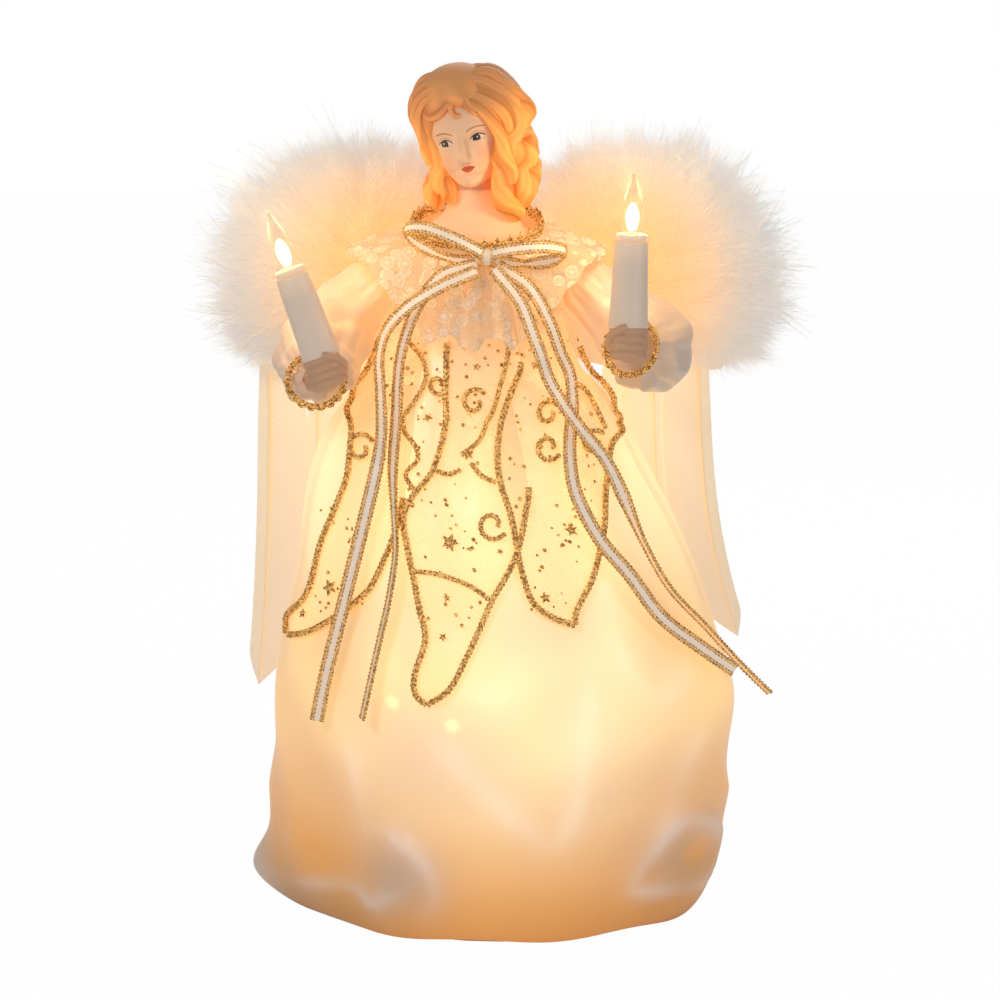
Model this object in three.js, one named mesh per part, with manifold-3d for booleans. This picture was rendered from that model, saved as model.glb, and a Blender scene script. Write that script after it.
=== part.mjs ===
// Angel tree topper: a lit, cone-bodied figure in a satin dress with feather wings and two candle lamps.
// Millimetres, +Z up. The front faces -Y and the origin is the middle of the standing rim.
import * as THREE from 'three';
import { mergeVertices } from 'three/addons/utils/BufferGeometryUtils.js';
import Module from 'manifold-3d';

const wasm = await Module();
wasm.setup();

// Clearances between pieces that touch in the real object
const FIT = 0.3;
const LAY = 0.4;

// Moulded cone that stands on the tree tip
const CONE_HEIGHT = 205;
const CONE_BASE_R = 52;
const CONE_TOP_R = 15;
const CONE_WALL = 1.6;
const CONE_TOP_PLATE = 2;
const RIM_WIDTH = 2.4;
const RIM_HEIGHT = 2;
const POST_R = 6;
const POST_HEIGHT = 16;

// Lamps that stand out of the cone behind the skirt
const LOWER_LAMPS = 5;
const LOWER_LAMP_Z = 62;
const LOWER_LAMP_TURN = 14;
const UPPER_LAMPS = 3;
const UPPER_LAMP_Z = 118;
const UPPER_LAMP_TURN = -22;
const HOLDER_R = 4.5;
const HOLDER_FLANGE_R = 6.2;
const HOLDER_FLANGE = 1.8;
const HOLDER_SEAT_GAP = 1;
const HOLDER_OUTSIDE = 5;
const HOLDER_TAIL = 3;
const BULB_BASE_R = 2.6;
const BULB_BASE_LENGTH = 9;
const BULB_SHOULDER = 1;
const BULB_GLASS_R = 3;
const BULB_BODY = 10;
const BULB_TIP = 6;
const STRING_WIRE_R = 0.9;

// Dress
const WAIST_DROP = 15;
const WAIST_R = 40;
const WAIST_DEPTH = 0.68;
const BODICE_DEPTH = 0.8;
const BODICE_CURVE = 0.6;
const NECK_RISE = 38;
const NECK_R = 22.8;
const NECK_DROP = 6.5;
const CLOTH = 1;
const UPPER_LEAN = 8;
const LEAN_FOOT_DROP = 95;
const LEAN_TOP_DROP = 35;
const SKIRT_R = 80;
const SKIRT_DEPTH = 0.85;
const SKIRT_BULGE_Z = 45;
const SKIRT_FLARE = 18;
const SKIRT_SHOULDER_DROP = 22;
const SKIRT_FALL = 65;
const SKIRT_FLOOR_R = 65;
const HEM_LIFT = 0.6;
const HEM_DEPTH = 0.92;
const GATHERS = 11;
const GATHER_DEPTH = 1.7;
const SWAGS = 5;
const SWAG_DEPTH = 2.4;

// Organza petals over the skirt
const PETAL_CLOTH = 0.6;
const PETAL_LIFT = 2;
const PETAL_TOP_DROP = 21;

// Lace collar, neck braid and bow
const LACE = 0.8;
const LACE_FRONT_DROP = 35;
const LACE_SIDE_DROP = 9;
const LACE_FRONT_R = 37;
const LACE_SIDE_R = 45;
const LACE_BACK_R = 29;
const LACE_DEPTH = 0.85;
const LACE_RUFFLES = 12;
const LACE_RUFFLE_DEPTH = 1.1;
const BRAID_R = 1.5;
const RIBBON_WIDTH = 5.5;
const RIBBON = 0.6;
const KNOT_R = 3.2;
const KNOT_X = -4.5;
const KNOT_DROP = 2.6;

// Bust and head
const BUST_R = 17;
const SHOULDER_R = 20;
const NECK_STEM_R = 6;
const HEAD_WIDTH = 30;
const HEAD_DEPTH = 33;
const HEAD_HEIGHT = 38;
const HEAD_RISE = 71;
const HEAD_FORWARD = 6;
const HEAD_SIDE = -12;
const HEAD_ROLL = -12;
const HEAD_YAW = -12;
const HEAD_PITCH = 10;
const HAIR = 3.2;
const LOCK_R = 5;
const CURL_R = 6.2;
const CURL_REACH = 4;
const CURL_SWELL = 0.2;
const CURLS = 2.5;
const LOCKS = 3;

// Arms
const SHOULDER_RISE = 21;
const SHOULDER_REACH = 33;
const SLEEVE_HEAD_R = 10.5;
const SLEEVE_PUFF_R = 15;
const SLEEVE_CUFF_R = 8;
const SLEEVE_GATHERS = 7;
const SLEEVE_BORE_R = 3.8;
const ARM_WIRE_R = 0.9;
const LEAD_R = 0.6;
const LEAD_RISE = 2.1;
const WRIST_R = 3;
const FIST_R = 6.6;
const FINGER_R = 1.8;
const FINGERS = 4;
const CUFF_BRAID_R = 1.2;

// Candle lamps
const CANDLE_HEIGHT = 28;
const CANDLE_FOOT_R = 6.9;
const CANDLE_TOP_R = 5.7;
const CANDLE_WALL = 1.1;
const CANDLE_FLOOR = 1.6;
const PEG_R = 2.8;
const PEG_LENGTH = 8;
const CUP_LIP = 2.2;
const CUP_LIP_R = 5.9;
const CUP_DEPTH = 14;
const CANDLE_BULB_R = 3.2;
const CANDLE_BULB_BODY = 11;
const CANDLE_BULB_TIP = 8;

// Wings
const BOARD = 1.6;
const BOARD_HALF = 14;
const BOARD_DROP = 9;
const BOARD_RISE = 25;
const WING_SWEEP = 15;
const FEATHER = 1.2;
const FEATHER_DROP = 2;
const MARABOU_FLATTEN = 0.62;

// Heights that follow from the cone
const WAIST_Z = CONE_HEIGHT - WAIST_DROP;
const NECK_Z = CONE_HEIGHT + NECK_RISE;
const SHOULDER_Z = CONE_HEIGHT + SHOULDER_RISE;
const BOARD_FOOT_Z = CONE_HEIGHT - BOARD_DROP;
const BOARD_TOP_Z = CONE_HEIGHT + BOARD_RISE;

const group = new THREE.Group();
const rad = THREE.MathUtils.degToRad;
const mix = THREE.MathUtils.lerp;
const ease = THREE.MathUtils.smoothstep;
const vec = (x, y, z) => new THREE.Vector3(x, y, z);

const finish = (color, roughness, metalness = 0) => (
  new THREE.MeshStandardMaterial({ color, roughness, metalness }));
const plastic = finish(0xf3f0e8, 0.45);
const skin = finish(0xe9c7a8, 0.55);
const satin = finish(0xf4e6c0, 0.35);
const organza = finish(0xe6d9b8, 0.5);
const lace = finish(0xf2ead6, 0.8);
const goldBraid = finish(0xb98a3c, 0.4, 0.6);
const ribbonCloth = finish(0xf5efdf, 0.5);
const wire = finish(0x8f8f8f, 0.4, 0.9);
const greenWire = finish(0x1f3d2a, 0.6);
const greenPlastic = finish(0x24452f, 0.5);
const glass = finish(0xfff3d0, 0.1);
const card = finish(0xe9e4d8, 0.85);
const fluff = finish(0xf6efe4, 0.95);
const vane = finish(0xefe0bd, 0.8);

// Turn a closed geometry so that its faces look outwards
function faceOut(geometry) {
  const at = geometry.attributes.position;
  const turns = geometry.index.array;
  const corner = [vec(0, 0, 0), vec(0, 0, 0), vec(0, 0, 0)];
  let volume = 0;
  for (let i = 0; i < turns.length; i += 3) {
    corner.forEach((c, k) => c.fromBufferAttribute(at, turns[i + k]));
    volume += corner[0].dot(corner[1].clone().cross(corner[2]));
  }
  if (volume < 0) {
    for (let i = 0; i < turns.length; i += 3) {
      [turns[i], turns[i + 1]] = [turns[i + 1], turns[i]];
    }
  }
  return geometry;
}

// Join equal points and drop what only shading needs
function weld(geometry) {
  const bare = geometry.clone();
  bare.deleteAttribute('normal');
  bare.deleteAttribute('uv');
  return faceOut(mergeVertices(bare, 1e-4));
}

function solid(geometry) {
  const welded = weld(geometry);
  return new wasm.Manifold(new wasm.Mesh({
    numProp: 3,
    vertProperties: welded.attributes.position.array,
    triVerts: new Uint32Array(welded.index.array),
  }));
}

function shapeOf(body) {
  const mesh = body.getMesh();
  const geometry = new THREE.BufferGeometry();
  geometry.setAttribute('position', new THREE.BufferAttribute(mesh.vertProperties, 3));
  geometry.setIndex(new THREE.BufferAttribute(mesh.triVerts, 1));
  geometry.computeVertexNormals();
  return geometry;
}

function add(name, geometry, material) {
  const mesh = new THREE.Mesh(geometry, material);
  mesh.name = name;
  group.add(mesh);
}

// Skin a row of equal rings, closed into a loop or capped at both ends
function loft(rings, loop = false) {
  const sides = rings[0].length;
  const points = rings.flat();
  const index = [];
  const spans = loop ? rings.length : rings.length - 1;
  for (let i = 0; i < spans; i += 1) {
    const near = i * sides;
    const far = ((i + 1) % rings.length) * sides;
    for (let j = 0; j < sides; j += 1) {
      const k = (j + 1) % sides;
      index.push(near + j, near + k, far + k, near + j, far + k, far + j);
    }
  }
  const cap = (first, turned) => {
    const middle = vec(0, 0, 0);
    for (let j = 0; j < sides; j += 1) {
      middle.addScaledVector(points[first + j], 1 / sides);
    }
    const hub = points.push(middle) - 1;
    for (let j = 0; j < sides; j += 1) {
      const k = (j + 1) % sides;
      index.push(hub, first + (turned ? k : j), first + (turned ? j : k));
    }
  };
  if (!loop) {
    cap(0, true);
    cap((rings.length - 1) * sides, false);
  }
  const geometry = new THREE.BufferGeometry().setFromPoints(points);
  geometry.setIndex(index);
  faceOut(geometry);
  geometry.computeVertexNormals();
  return geometry;
}

// Revolve a profile of [radius, height] about the Z axis
function revolve(profile, sides) {
  const points = profile.map(([r, z]) => new THREE.Vector2(r, z));
  return weld(new THREE.LatheGeometry(points, sides).rotateX(Math.PI / 2));
}

function tube(curve, radius, sides, steps) {
  const corners = Array.from({ length: sides }, (_, i) => {
    const a = (2 * Math.PI * i) / sides;
    return new THREE.Vector2(radius * Math.cos(a), radius * Math.sin(a));
  });
  const options = { steps, extrudePath: curve, bevelEnabled: false };
  return weld(new THREE.ExtrudeGeometry(new THREE.Shape(corners), options));
}

const spline = (points) => new THREE.CatmullRomCurve3(points, false, 'centripetal');

function ball(radii, middle, across = 14, up = 10) {
  const geometry = new THREE.SphereGeometry(1, across, up).rotateX(Math.PI / 2);
  return geometry.scale(radii.x, radii.y, radii.z).translate(middle.x, middle.y, middle.z);
}

// A flat band along a path, its face turned to the direction that faceAt gives
function band(path, steps, width, thickness, faceAt) {
  const rings = [];
  for (let i = 0; i <= steps; i += 1) {
    const u = i / steps;
    const at = path.getPointAt(u);
    const along = path.getTangentAt(u);
    const across = along.clone().cross(faceAt(at, u)).normalize().multiplyScalar(width / 2);
    const out = across.clone().cross(along).normalize().multiplyScalar(thickness / 2);
    rings.push([
      at.clone().add(across).add(out),
      at.clone().sub(across).add(out),
      at.clone().sub(across).sub(out),
      at.clone().add(across).sub(out),
    ]);
  }
  return loft(rings);
}

// Ring of a cord that runs round an oval
function oval(middleAt, radiusX, radiusY, cordR, steps, sides) {
  const rings = [];
  for (let i = 0; i < steps; i += 1) {
    const a = (2 * Math.PI * i) / steps;
    const out = vec(Math.sin(a), -Math.cos(a), 0);
    const at = middleAt(a).add(vec(radiusX * out.x, radiusY * out.y, 0));
    rings.push(Array.from({ length: sides }, (_, j) => {
      const b = (2 * Math.PI * j) / sides;
      return at.clone().addScaledVector(out, cordR * Math.cos(b)).add(vec(0, 0, cordR * Math.sin(b)));
    }));
  }
  return loft(rings, true);
}

// The dress: angles run from the front towards +X
const leanAt = (z) => -UPPER_LEAN * ease(z, CONE_HEIGHT - LEAN_FOOT_DROP, CONE_HEIGHT - LEAN_TOP_DROP);
const neckAt = (angle) => NECK_Z - NECK_DROP * Math.cos(angle);
const bodiceShare = (z) => (z - WAIST_Z) / (NECK_Z - WAIST_Z);
const bodiceR = (z) => mix(WAIST_R, NECK_R, bodiceShare(z) ** BODICE_CURVE);
const fall = new THREE.CubicBezierCurve(
  new THREE.Vector2(WAIST_R, WAIST_Z),
  new THREE.Vector2(WAIST_R + SKIRT_FLARE, WAIST_Z - SKIRT_SHOULDER_DROP),
  new THREE.Vector2(SKIRT_R, SKIRT_BULGE_Z + SKIRT_FALL),
  new THREE.Vector2(SKIRT_R, SKIRT_BULGE_Z),
);

function fallAt(z) {
  let low = 0;
  let high = 1;
  for (let i = 0; i < 30; i += 1) {
    const middle = (low + high) / 2;
    if (fall.getPoint(middle).y > z) {
      low = middle;
    } else {
      high = middle;
    }
  }
  return low;
}

// Folds by share of the way down the skirt, 0 at the waist and 1 at the bulge
function foldAt(angle, t) {
  const gather = GATHER_DEPTH * ease(t, 0, 0.25) * (1 - ease(t, 0.35, 1));
  const swag = SWAG_DEPTH * ease(t, 0.3, 1);
  return gather * Math.cos(GATHERS * angle) + swag * Math.cos(SWAGS * angle + 0.7);
}

const depthAt = (t) => mix(WAIST_DEPTH, SKIRT_DEPTH, ease(t, 0, 0.4));
const bodiceDepth = (z) => mix(WAIST_DEPTH, BODICE_DEPTH, bodiceShare(z));

// A point that stands off the dress by a lift
function dressPoint(angle, z, lift) {
  const t = z < WAIST_Z ? fallAt(z) : 0;
  const r = z < WAIST_Z ? fall.getPoint(t).x + foldAt(angle, t) : bodiceR(z);
  const depth = z < WAIST_Z ? depthAt(t) : bodiceDepth(z);
  return vec(leanAt(z) + (r + lift) * Math.sin(angle), -(r + lift) * depth * Math.cos(angle), z);
}

// Cone with its lamp holes and top post
const coneR = (z) => mix(CONE_BASE_R, CONE_TOP_R, z / CONE_HEIGHT);
const innerTopZ = CONE_HEIGHT - CONE_TOP_PLATE;
let cone = solid(revolve([
  [0, innerTopZ],
  [coneR(innerTopZ) - CONE_WALL, innerTopZ],
  [CONE_BASE_R - CONE_WALL, 0],
  [CONE_BASE_R + RIM_WIDTH, 0],
  [CONE_BASE_R + RIM_WIDTH, RIM_HEIGHT],
  [coneR(RIM_HEIGHT), RIM_HEIGHT],
  [CONE_TOP_R, CONE_HEIGHT],
  [POST_R, CONE_HEIGHT],
  [POST_R, CONE_HEIGHT + POST_HEIGHT],
  [0, CONE_HEIGHT + POST_HEIGHT],
], 28));

const lampRing = (count, z, turn) => Array.from({ length: count }, (_, i) => (
  { angle: rad(turn + (360 * i) / count), z }));
const lamps = [
  ...lampRing(LOWER_LAMPS, LOWER_LAMP_Z, LOWER_LAMP_TURN),
  ...lampRing(UPPER_LAMPS, UPPER_LAMP_Z, UPPER_LAMP_TURN),
];
const coneSlope = Math.atan2(CONE_BASE_R - CONE_TOP_R, CONE_HEIGHT);
const lampAxis = (angle) => vec(
  Math.sin(angle) * Math.cos(coneSlope), -Math.cos(angle) * Math.cos(coneSlope), Math.sin(coneSlope));
const lampFoot = ({ angle, z }) => vec(coneR(z) * Math.sin(angle), -coneR(z) * Math.cos(angle), z);

function lampPlace(lamp) {
  const turn = new THREE.Quaternion().setFromUnitVectors(vec(0, 0, 1), lampAxis(lamp.angle));
  return new THREE.Matrix4().compose(lampFoot(lamp), turn, vec(1, 1, 1));
}

const flangeTop = -(CONE_WALL + HOLDER_SEAT_GAP);
const holderFoot = flangeTop - HOLDER_FLANGE - HOLDER_TAIL;
const boreR = BULB_BASE_R + FIT;
const boreFoot = HOLDER_OUTSIDE - BULB_BASE_LENGTH - FIT;
const holderProfile = [
  [0, holderFoot],
  [HOLDER_R, holderFoot],
  [HOLDER_R, flangeTop - HOLDER_FLANGE],
  [HOLDER_FLANGE_R, flangeTop - HOLDER_FLANGE],
  [HOLDER_FLANGE_R, flangeTop],
  [HOLDER_R, flangeTop],
  [HOLDER_R, HOLDER_OUTSIDE],
  [boreR, HOLDER_OUTSIDE],
  [boreR, boreFoot],
  [0, boreFoot],
];

function bulbProfile(mouth, glassR, body, tip) {
  const shoulder = mouth + FIT;
  const top = shoulder + BULB_SHOULDER + body;
  return [
    [0, mouth - BULB_BASE_LENGTH],
    [BULB_BASE_R, mouth - BULB_BASE_LENGTH],
    [BULB_BASE_R, shoulder],
    [glassR + 0.3, shoulder],
    [glassR + 0.3, shoulder + BULB_SHOULDER],
    [glassR, shoulder + BULB_SHOULDER],
    [glassR, top],
    [0.6 * glassR, top + 0.45 * tip],
    [0.22 * glassR, top + 0.9 * tip],
    [0, top + tip],
  ];
}

const holeLength = 6 * CONE_WALL;
lamps.forEach((lamp, i) => {
  const place = lampPlace(lamp);
  const hole = new THREE.CylinderGeometry(HOLDER_R + FIT, HOLDER_R + FIT, holeLength, 10);
  cone = cone.subtract(solid(hole.rotateX(Math.PI / 2).applyMatrix4(place)));
  add(`skirt_lampholder_${i + 1}`, revolve(holderProfile, 8).applyMatrix4(place), greenPlastic);
  const profile = bulbProfile(HOLDER_OUTSIDE, BULB_GLASS_R, BULB_BODY, BULB_TIP);
  add(`skirt_bulb_${i + 1}`, revolve(profile, 6).applyMatrix4(place), glass);
});
add('body_cone', shapeOf(cone), plastic);

// Light string inside the cone: it passes behind every lampholder, tier by tier
const wireIn = -holderFoot + 2 * LAY + STRING_WIRE_R;
const wireAt = (angle, z, inwards) => lampFoot({ angle, z }).addScaledVector(lampAxis(angle), -inwards);
const wireStops = lamps.map(({ angle, z }, i) => (
  { angle: angle + (i < LOWER_LAMPS ? 0 : 2 * Math.PI), z }));
const wireRoute = [];
wireStops.forEach((stop, i) => {
  if (i > 0) {
    const last = wireStops[i - 1];
    wireRoute.push(wireAt((last.angle + stop.angle) / 2, (last.z + stop.z) / 2, wireIn));
  }
  wireRoute.push(wireAt(stop.angle, stop.z, wireIn));
});
add('light_string_wire', tube(spline(wireRoute), STRING_WIRE_R, 5, 28), greenWire);

// Skirt: a satin shell from the waist over the bulge to the hem that is tucked to the rim
const tuckR = CONE_BASE_R + RIM_WIDTH + LAY;
const skirtProfile = [];
for (let i = 0; i <= 7; i += 1) {
  const t = i / 7;
  const at = fall.getPoint(t);
  skirtProfile.push({ at, fold: t, share: 1, depth: depthAt(t) });
}
for (let i = 1; i <= 4; i += 1) {
  const a = (i / 4) * (Math.PI / 2);
  const z = mix(SKIRT_BULGE_Z, HEM_LIFT, Math.sin(a));
  const at = new THREE.Vector2(mix(SKIRT_FLOOR_R, SKIRT_R, Math.cos(a)), z);
  const share = 1 - 0.7 * Math.sin(a);
  skirtProfile.push({ at, fold: 1, share, depth: mix(SKIRT_DEPTH, HEM_DEPTH, Math.sin(a)) });
}
skirtProfile.push({ at: new THREE.Vector2(tuckR, HEM_LIFT), fold: 1, share: 0, depth: 1 });

function skirtNormal(i) {
  const before = skirtProfile[Math.max(0, i - 1)].at;
  const after = skirtProfile[Math.min(skirtProfile.length - 1, i + 1)].at;
  const along = after.clone().sub(before).normalize();
  return new THREE.Vector2(-along.y, along.x);
}

const skirtSides = 40;
function skirtRing(i, inset) {
  const { at, fold, share, depth } = skirtProfile[i];
  const end = i === skirtProfile.length - 1;
  const normal = end ? new THREE.Vector2(0, -1) : skirtNormal(i);
  const r = at.x - inset * normal.x;
  return Array.from({ length: skirtSides }, (_, j) => {
    const angle = (2 * Math.PI * j) / skirtSides;
    const out = r + share * foldAt(angle, fold);
    const z = at.y - inset * normal.y;
    return vec(leanAt(z) + out * Math.sin(angle), -out * depth * Math.cos(angle), z);
  });
}
const skirtRows = skirtProfile.map((_, i) => i);
add('skirt', loft([
  ...skirtRows.map((i) => skirtRing(i, 0)),
  ...skirtRows.reverse().map((i) => skirtRing(i, CLOTH)),
], true), satin);

// Bodice with its two armholes
const bodiceFoot = WAIST_Z + LAY;
const bodiceTop = (angle) => neckAt(angle) - BRAID_R - LAY;
const bodiceSides = 28;
function bodiceRing(share, inset) {
  return Array.from({ length: bodiceSides }, (_, j) => {
    const angle = (2 * Math.PI * j) / bodiceSides;
    return dressPoint(angle, mix(bodiceFoot, bodiceTop(angle), share), -inset);
  });
}
const bodiceShares = [0, 0.12, 0.33, 0.67, 1];
let bodice = solid(loft([
  ...bodiceShares.map((s) => bodiceRing(s, 0)),
  ...bodiceShares.slice().reverse().map((s) => bodiceRing(s, CLOTH)),
], true));
const shoulderX = (side) => leanAt(SHOULDER_Z) + side * SHOULDER_REACH;
const armhole = SLEEVE_HEAD_R * 1.2 + FIT;
[-1, 1].forEach((side) => {
  const hole = ball(vec(armhole, armhole, armhole), vec(shoulderX(side), 0, SHOULDER_Z), 12, 8);
  bodice = bodice.subtract(solid(hole));
});
add('bodice', shapeOf(bodice), satin);

// Organza petals: angle at the top and at the tip, length below the waist and half the width
const petals = [
  { name: 'petal_front_left', top: -48, tip: -76, below: 88, half: 15 },
  { name: 'petal_front_middle', top: -12, tip: -18, below: 104, half: 17 },
  { name: 'petal_front_right', top: 26, tip: 20, below: 79, half: 17 },
  { name: 'petal_back_right', top: 150, tip: 148, below: 78, half: 13 },
  { name: 'petal_back_left', top: -155, tip: -155, below: 84, half: 13 },
];
const petalTop = NECK_Z - PETAL_TOP_DROP;
const petalRows = 8;
const petalColumns = 4;
petals.forEach(({ name, top, tip, below, half }) => {
  const rings = [];
  for (let i = 0; i <= petalRows; i += 1) {
    const s = i / petalRows;
    const z = mix(petalTop, WAIST_Z - below, s);
    const lift = mix(LAY, PETAL_LIFT, ease(s, 0, 0.3));
    const spread = half * mix(0.35, 1, ease(s, 0, 0.55)) * mix(1, 0.07, ease(s, 0.6, 1));
    const middle = rad(mix(top, tip, s * s));
    const reach = dressPoint(Math.PI / 2, z, lift).x - leanAt(z);
    const column = (j, off) => dressPoint(middle + (spread / reach) * ((2 * j) / petalColumns - 1), z, off);
    const columns = Array.from({ length: petalColumns + 1 }, (_, j) => j);
    rings.push([
      ...columns.map((j) => column(j, lift + PETAL_CLOTH)),
      ...columns.reverse().map((j) => column(j, lift)),
    ]);
  }
  add(name, loft(rings), organza);
});

// Lace collar: a ruffled flounce, deep in front and narrow over the shoulders and the back
const laceSides = 48;
const laceRoot = (z) => bodiceR(z) + LAY + LACE;
function laceRing(s, inset) {
  return Array.from({ length: laceSides }, (_, j) => {
    const angle = (2 * Math.PI * j) / laceSides;
    const turn = Math.abs(angle > Math.PI ? angle - 2 * Math.PI : angle);
    const side = ease(turn, rad(25), rad(70));
    const sideR = mix(LACE_FRONT_R, LACE_SIDE_R, side);
    const edgeR = mix(sideR, LACE_BACK_R, ease(turn, rad(100), rad(150)));
    const edgeZ = mix(NECK_Z - LACE_FRONT_DROP, NECK_Z - LACE_SIDE_DROP, side);
    const rootZ = neckAt(angle) - BRAID_R - 2 * LAY;
    const ruffle = LACE_RUFFLE_DEPTH * s * Math.cos(LACE_RUFFLES * angle);
    const steep = mix(1, 0.25, side);
    const r = mix(laceRoot(rootZ), edgeR, s) + ruffle - inset * steep;
    const fallen = mix(rootZ, Math.min(edgeZ, rootZ - 1), s ** mix(1, 2, side));
    const z = fallen + (ruffle - inset) * (1 - steep);
    const depth = mix(BODICE_DEPTH, LACE_DEPTH, s);
    return vec(leanAt(z) + r * Math.sin(angle), -r * depth * Math.cos(angle), z);
  });
}
const laceRows = [0, 0.5, 1];
add('lace_collar', loft([
  ...laceRows.map((s) => laceRing(s, 0)),
  ...laceRows.slice().reverse().map((s) => laceRing(s, LACE)),
], true), lace);

// Braid round the neckline
const braidX = NECK_R - CLOTH / 2;
add('neck_braid', oval(
  (angle) => vec(leanAt(neckAt(angle)), 0, neckAt(angle)), braidX, braidX * BODICE_DEPTH, BRAID_R, 28, 6,
), goldBraid);

// Bow: two loops and a knot tied as one piece in front of the lace
const knotZ = NECK_Z - NECK_DROP - KNOT_DROP;
const knotY = -(laceRoot(knotZ) + 0.5 * LACE_RUFFLE_DEPTH) * LACE_DEPTH - KNOT_R;
const knot = vec(KNOT_X, knotY, knotZ);
function bowLoop(side, reach, rise) {
  const path = spline([
    knot.clone().add(vec(side * 1, -1, 0.6)),
    knot.clone().add(vec(side * reach * 0.35, -3.5, rise * 0.4)),
    knot.clone().add(vec(side * reach * 0.8, -2, rise * 0.9)),
    knot.clone().add(vec(side * reach, 2.5, rise)),
    knot.clone().add(vec(side * reach * 0.85, 5.5, rise * 0.75)),
    knot.clone().add(vec(side * reach * 0.4, 3.5, rise * 0.2)),
    knot.clone().add(vec(side * 1, 1, -0.6)),
  ]);
  const out = (at) => at.clone().sub(knot.clone().add(vec(side * reach * 0.6, 1, rise * 0.6))).setZ(0);
  return solid(band(path, 16, RIBBON_WIDTH, RIBBON, out));
}
const bow = solid(ball(vec(KNOT_R, KNOT_R, KNOT_R), knot, 10, 7))
  .add(bowLoop(-1, 28, 9))
  .add(bowLoop(1, 27, 1.5));
add('bow', shapeOf(bow), ribbonCloth);

// Ribbon tails: each hangs from the knot over the dress
const tails = {
  ribbon_tail_left_face: [
    [-8, -28.8, 229.3], [-21, -34, 224], [-32, -34, 217], [-39, -31, 209], [-41.5, -29.5, 200],
    [-41, -34, 188], [-40.5, -42, 175], [-42, -49, 164], [-46, -51, 147], [-50, -50, 131],
    [-54, -49, 115], [-60, -48, 91], [-63, -47, 76],
  ],
  ribbon_tail_left_edge: [
    [-8, -26.2, 231.5], [-20, -30.5, 228], [-26, -31, 221], [-31, -30.5, 211], [-33.5, -29, 203],
    [-35, -27.5, 194], [-35.5, -34.5, 180], [-36.5, -45.5, 164], [-36, -52.5, 149], [-35.5, -56, 136],
    [-38, -58, 119], [-41, -59.5, 106], [-47, -60, 79],
  ],
  ribbon_tail_right_face: [
    [-1, -25.5, 231], [10, -30, 224], [17, -31, 212], [21, -29, 201], [24, -28, 194], [25, -32, 183],
    [24, -39, 174], [24, -46, 165], [26, -51, 155], [34, -54, 140], [44, -54, 128], [55, -51, 113],
    [69, -43, 101], [81, -38, 92],
  ],
  ribbon_tail_right_edge: [
    [-2, -27.5, 230], [7, -34, 219], [11, -36, 209], [14, -36, 201], [17, -34, 192], [22, -38, 184],
    [28, -43, 176], [36, -44, 166], [42, -46, 154], [49, -47, 138], [58, -45, 122], [71, -36, 107],
    [84, -29, 92], [94, -28, 82],
  ],
};
Object.entries(tails).forEach(([name, points]) => {
  const path = spline(points.map(([x, y, z]) => vec(x, y, z)));
  add(name, band(path, 26, RIBBON_WIDTH, RIBBON, (at) => vec(at.x, at.y * 1.4, 12)), ribbonCloth);
});

// Bust and head in one casting
const bustFoot = CONE_HEIGHT + FIT;
const bustLean = (z) => -UPPER_LEAN * mix(0.5, 1, (z - CONE_HEIGHT) / NECK_RISE);
function bustRing(r, z) {
  const sides = 18;
  return Array.from({ length: sides }, (_, j) => {
    const a = (2 * Math.PI * j) / sides;
    return vec(bustLean(z) + r * Math.cos(a), r * BODICE_DEPTH * Math.sin(a), z);
  });
}
const shoulderTop = NECK_Z - NECK_DROP - BRAID_R;
const headMiddle = vec(HEAD_SIDE, -HEAD_FORWARD, CONE_HEIGHT + HEAD_RISE);
let bust = solid(loft([
  bustRing(BUST_R, bustFoot),
  bustRing(SHOULDER_R, SHOULDER_Z),
  bustRing(SHOULDER_R - 1, mix(SHOULDER_Z, shoulderTop, 0.6)),
  bustRing(0.7 * SHOULDER_R, shoulderTop + 3),
  bustRing(NECK_STEM_R + 2.5, NECK_Z + 1),
  bustRing(NECK_STEM_R, NECK_Z + 5),
  bustRing(NECK_STEM_R, headMiddle.z - HEAD_HEIGHT * 0.25),
]));
bust = bust.subtract(solid(revolve([
  [0, CONE_HEIGHT - 1],
  [POST_R + FIT, CONE_HEIGHT - 1],
  [POST_R + FIT, CONE_HEIGHT + POST_HEIGHT + FIT],
  [0, CONE_HEIGHT + POST_HEIGHT + FIT],
], 16)));

const headTurn = new THREE.Euler(rad(HEAD_PITCH), rad(HEAD_ROLL), rad(HEAD_YAW), 'YZX');
const headPlace = new THREE.Matrix4().compose(
  headMiddle, new THREE.Quaternion().setFromEuler(headTurn), vec(1, 1, 1));
const half = vec(HEAD_WIDTH / 2, HEAD_DEPTH / 2, HEAD_HEIGHT / 2);
const hairCap = solid(ball(
  half.clone().addScalar(HAIR), vec(0, 0.1 * half.y, 0.12 * half.z), 14, 10,
)).subtract(solid(ball(
  vec(0.86 * half.x, half.y, 0.95 * half.z), vec(0, -1.05 * half.y, -0.42 * half.z), 14, 10)));
let head = solid(ball(half, vec(0, 0, 0), 14, 10))
  .add(solid(ball(
    vec(0.74 * half.x, 0.68 * half.y, 0.62 * half.z), vec(0, -0.22 * half.y, -0.4 * half.z), 12, 9)))
  .add(solid(ball(vec(1.6, 2.6, 3), vec(0, -0.98 * half.y, -0.3 * half.z), 8, 6)))
  .add(hairCap);
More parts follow.
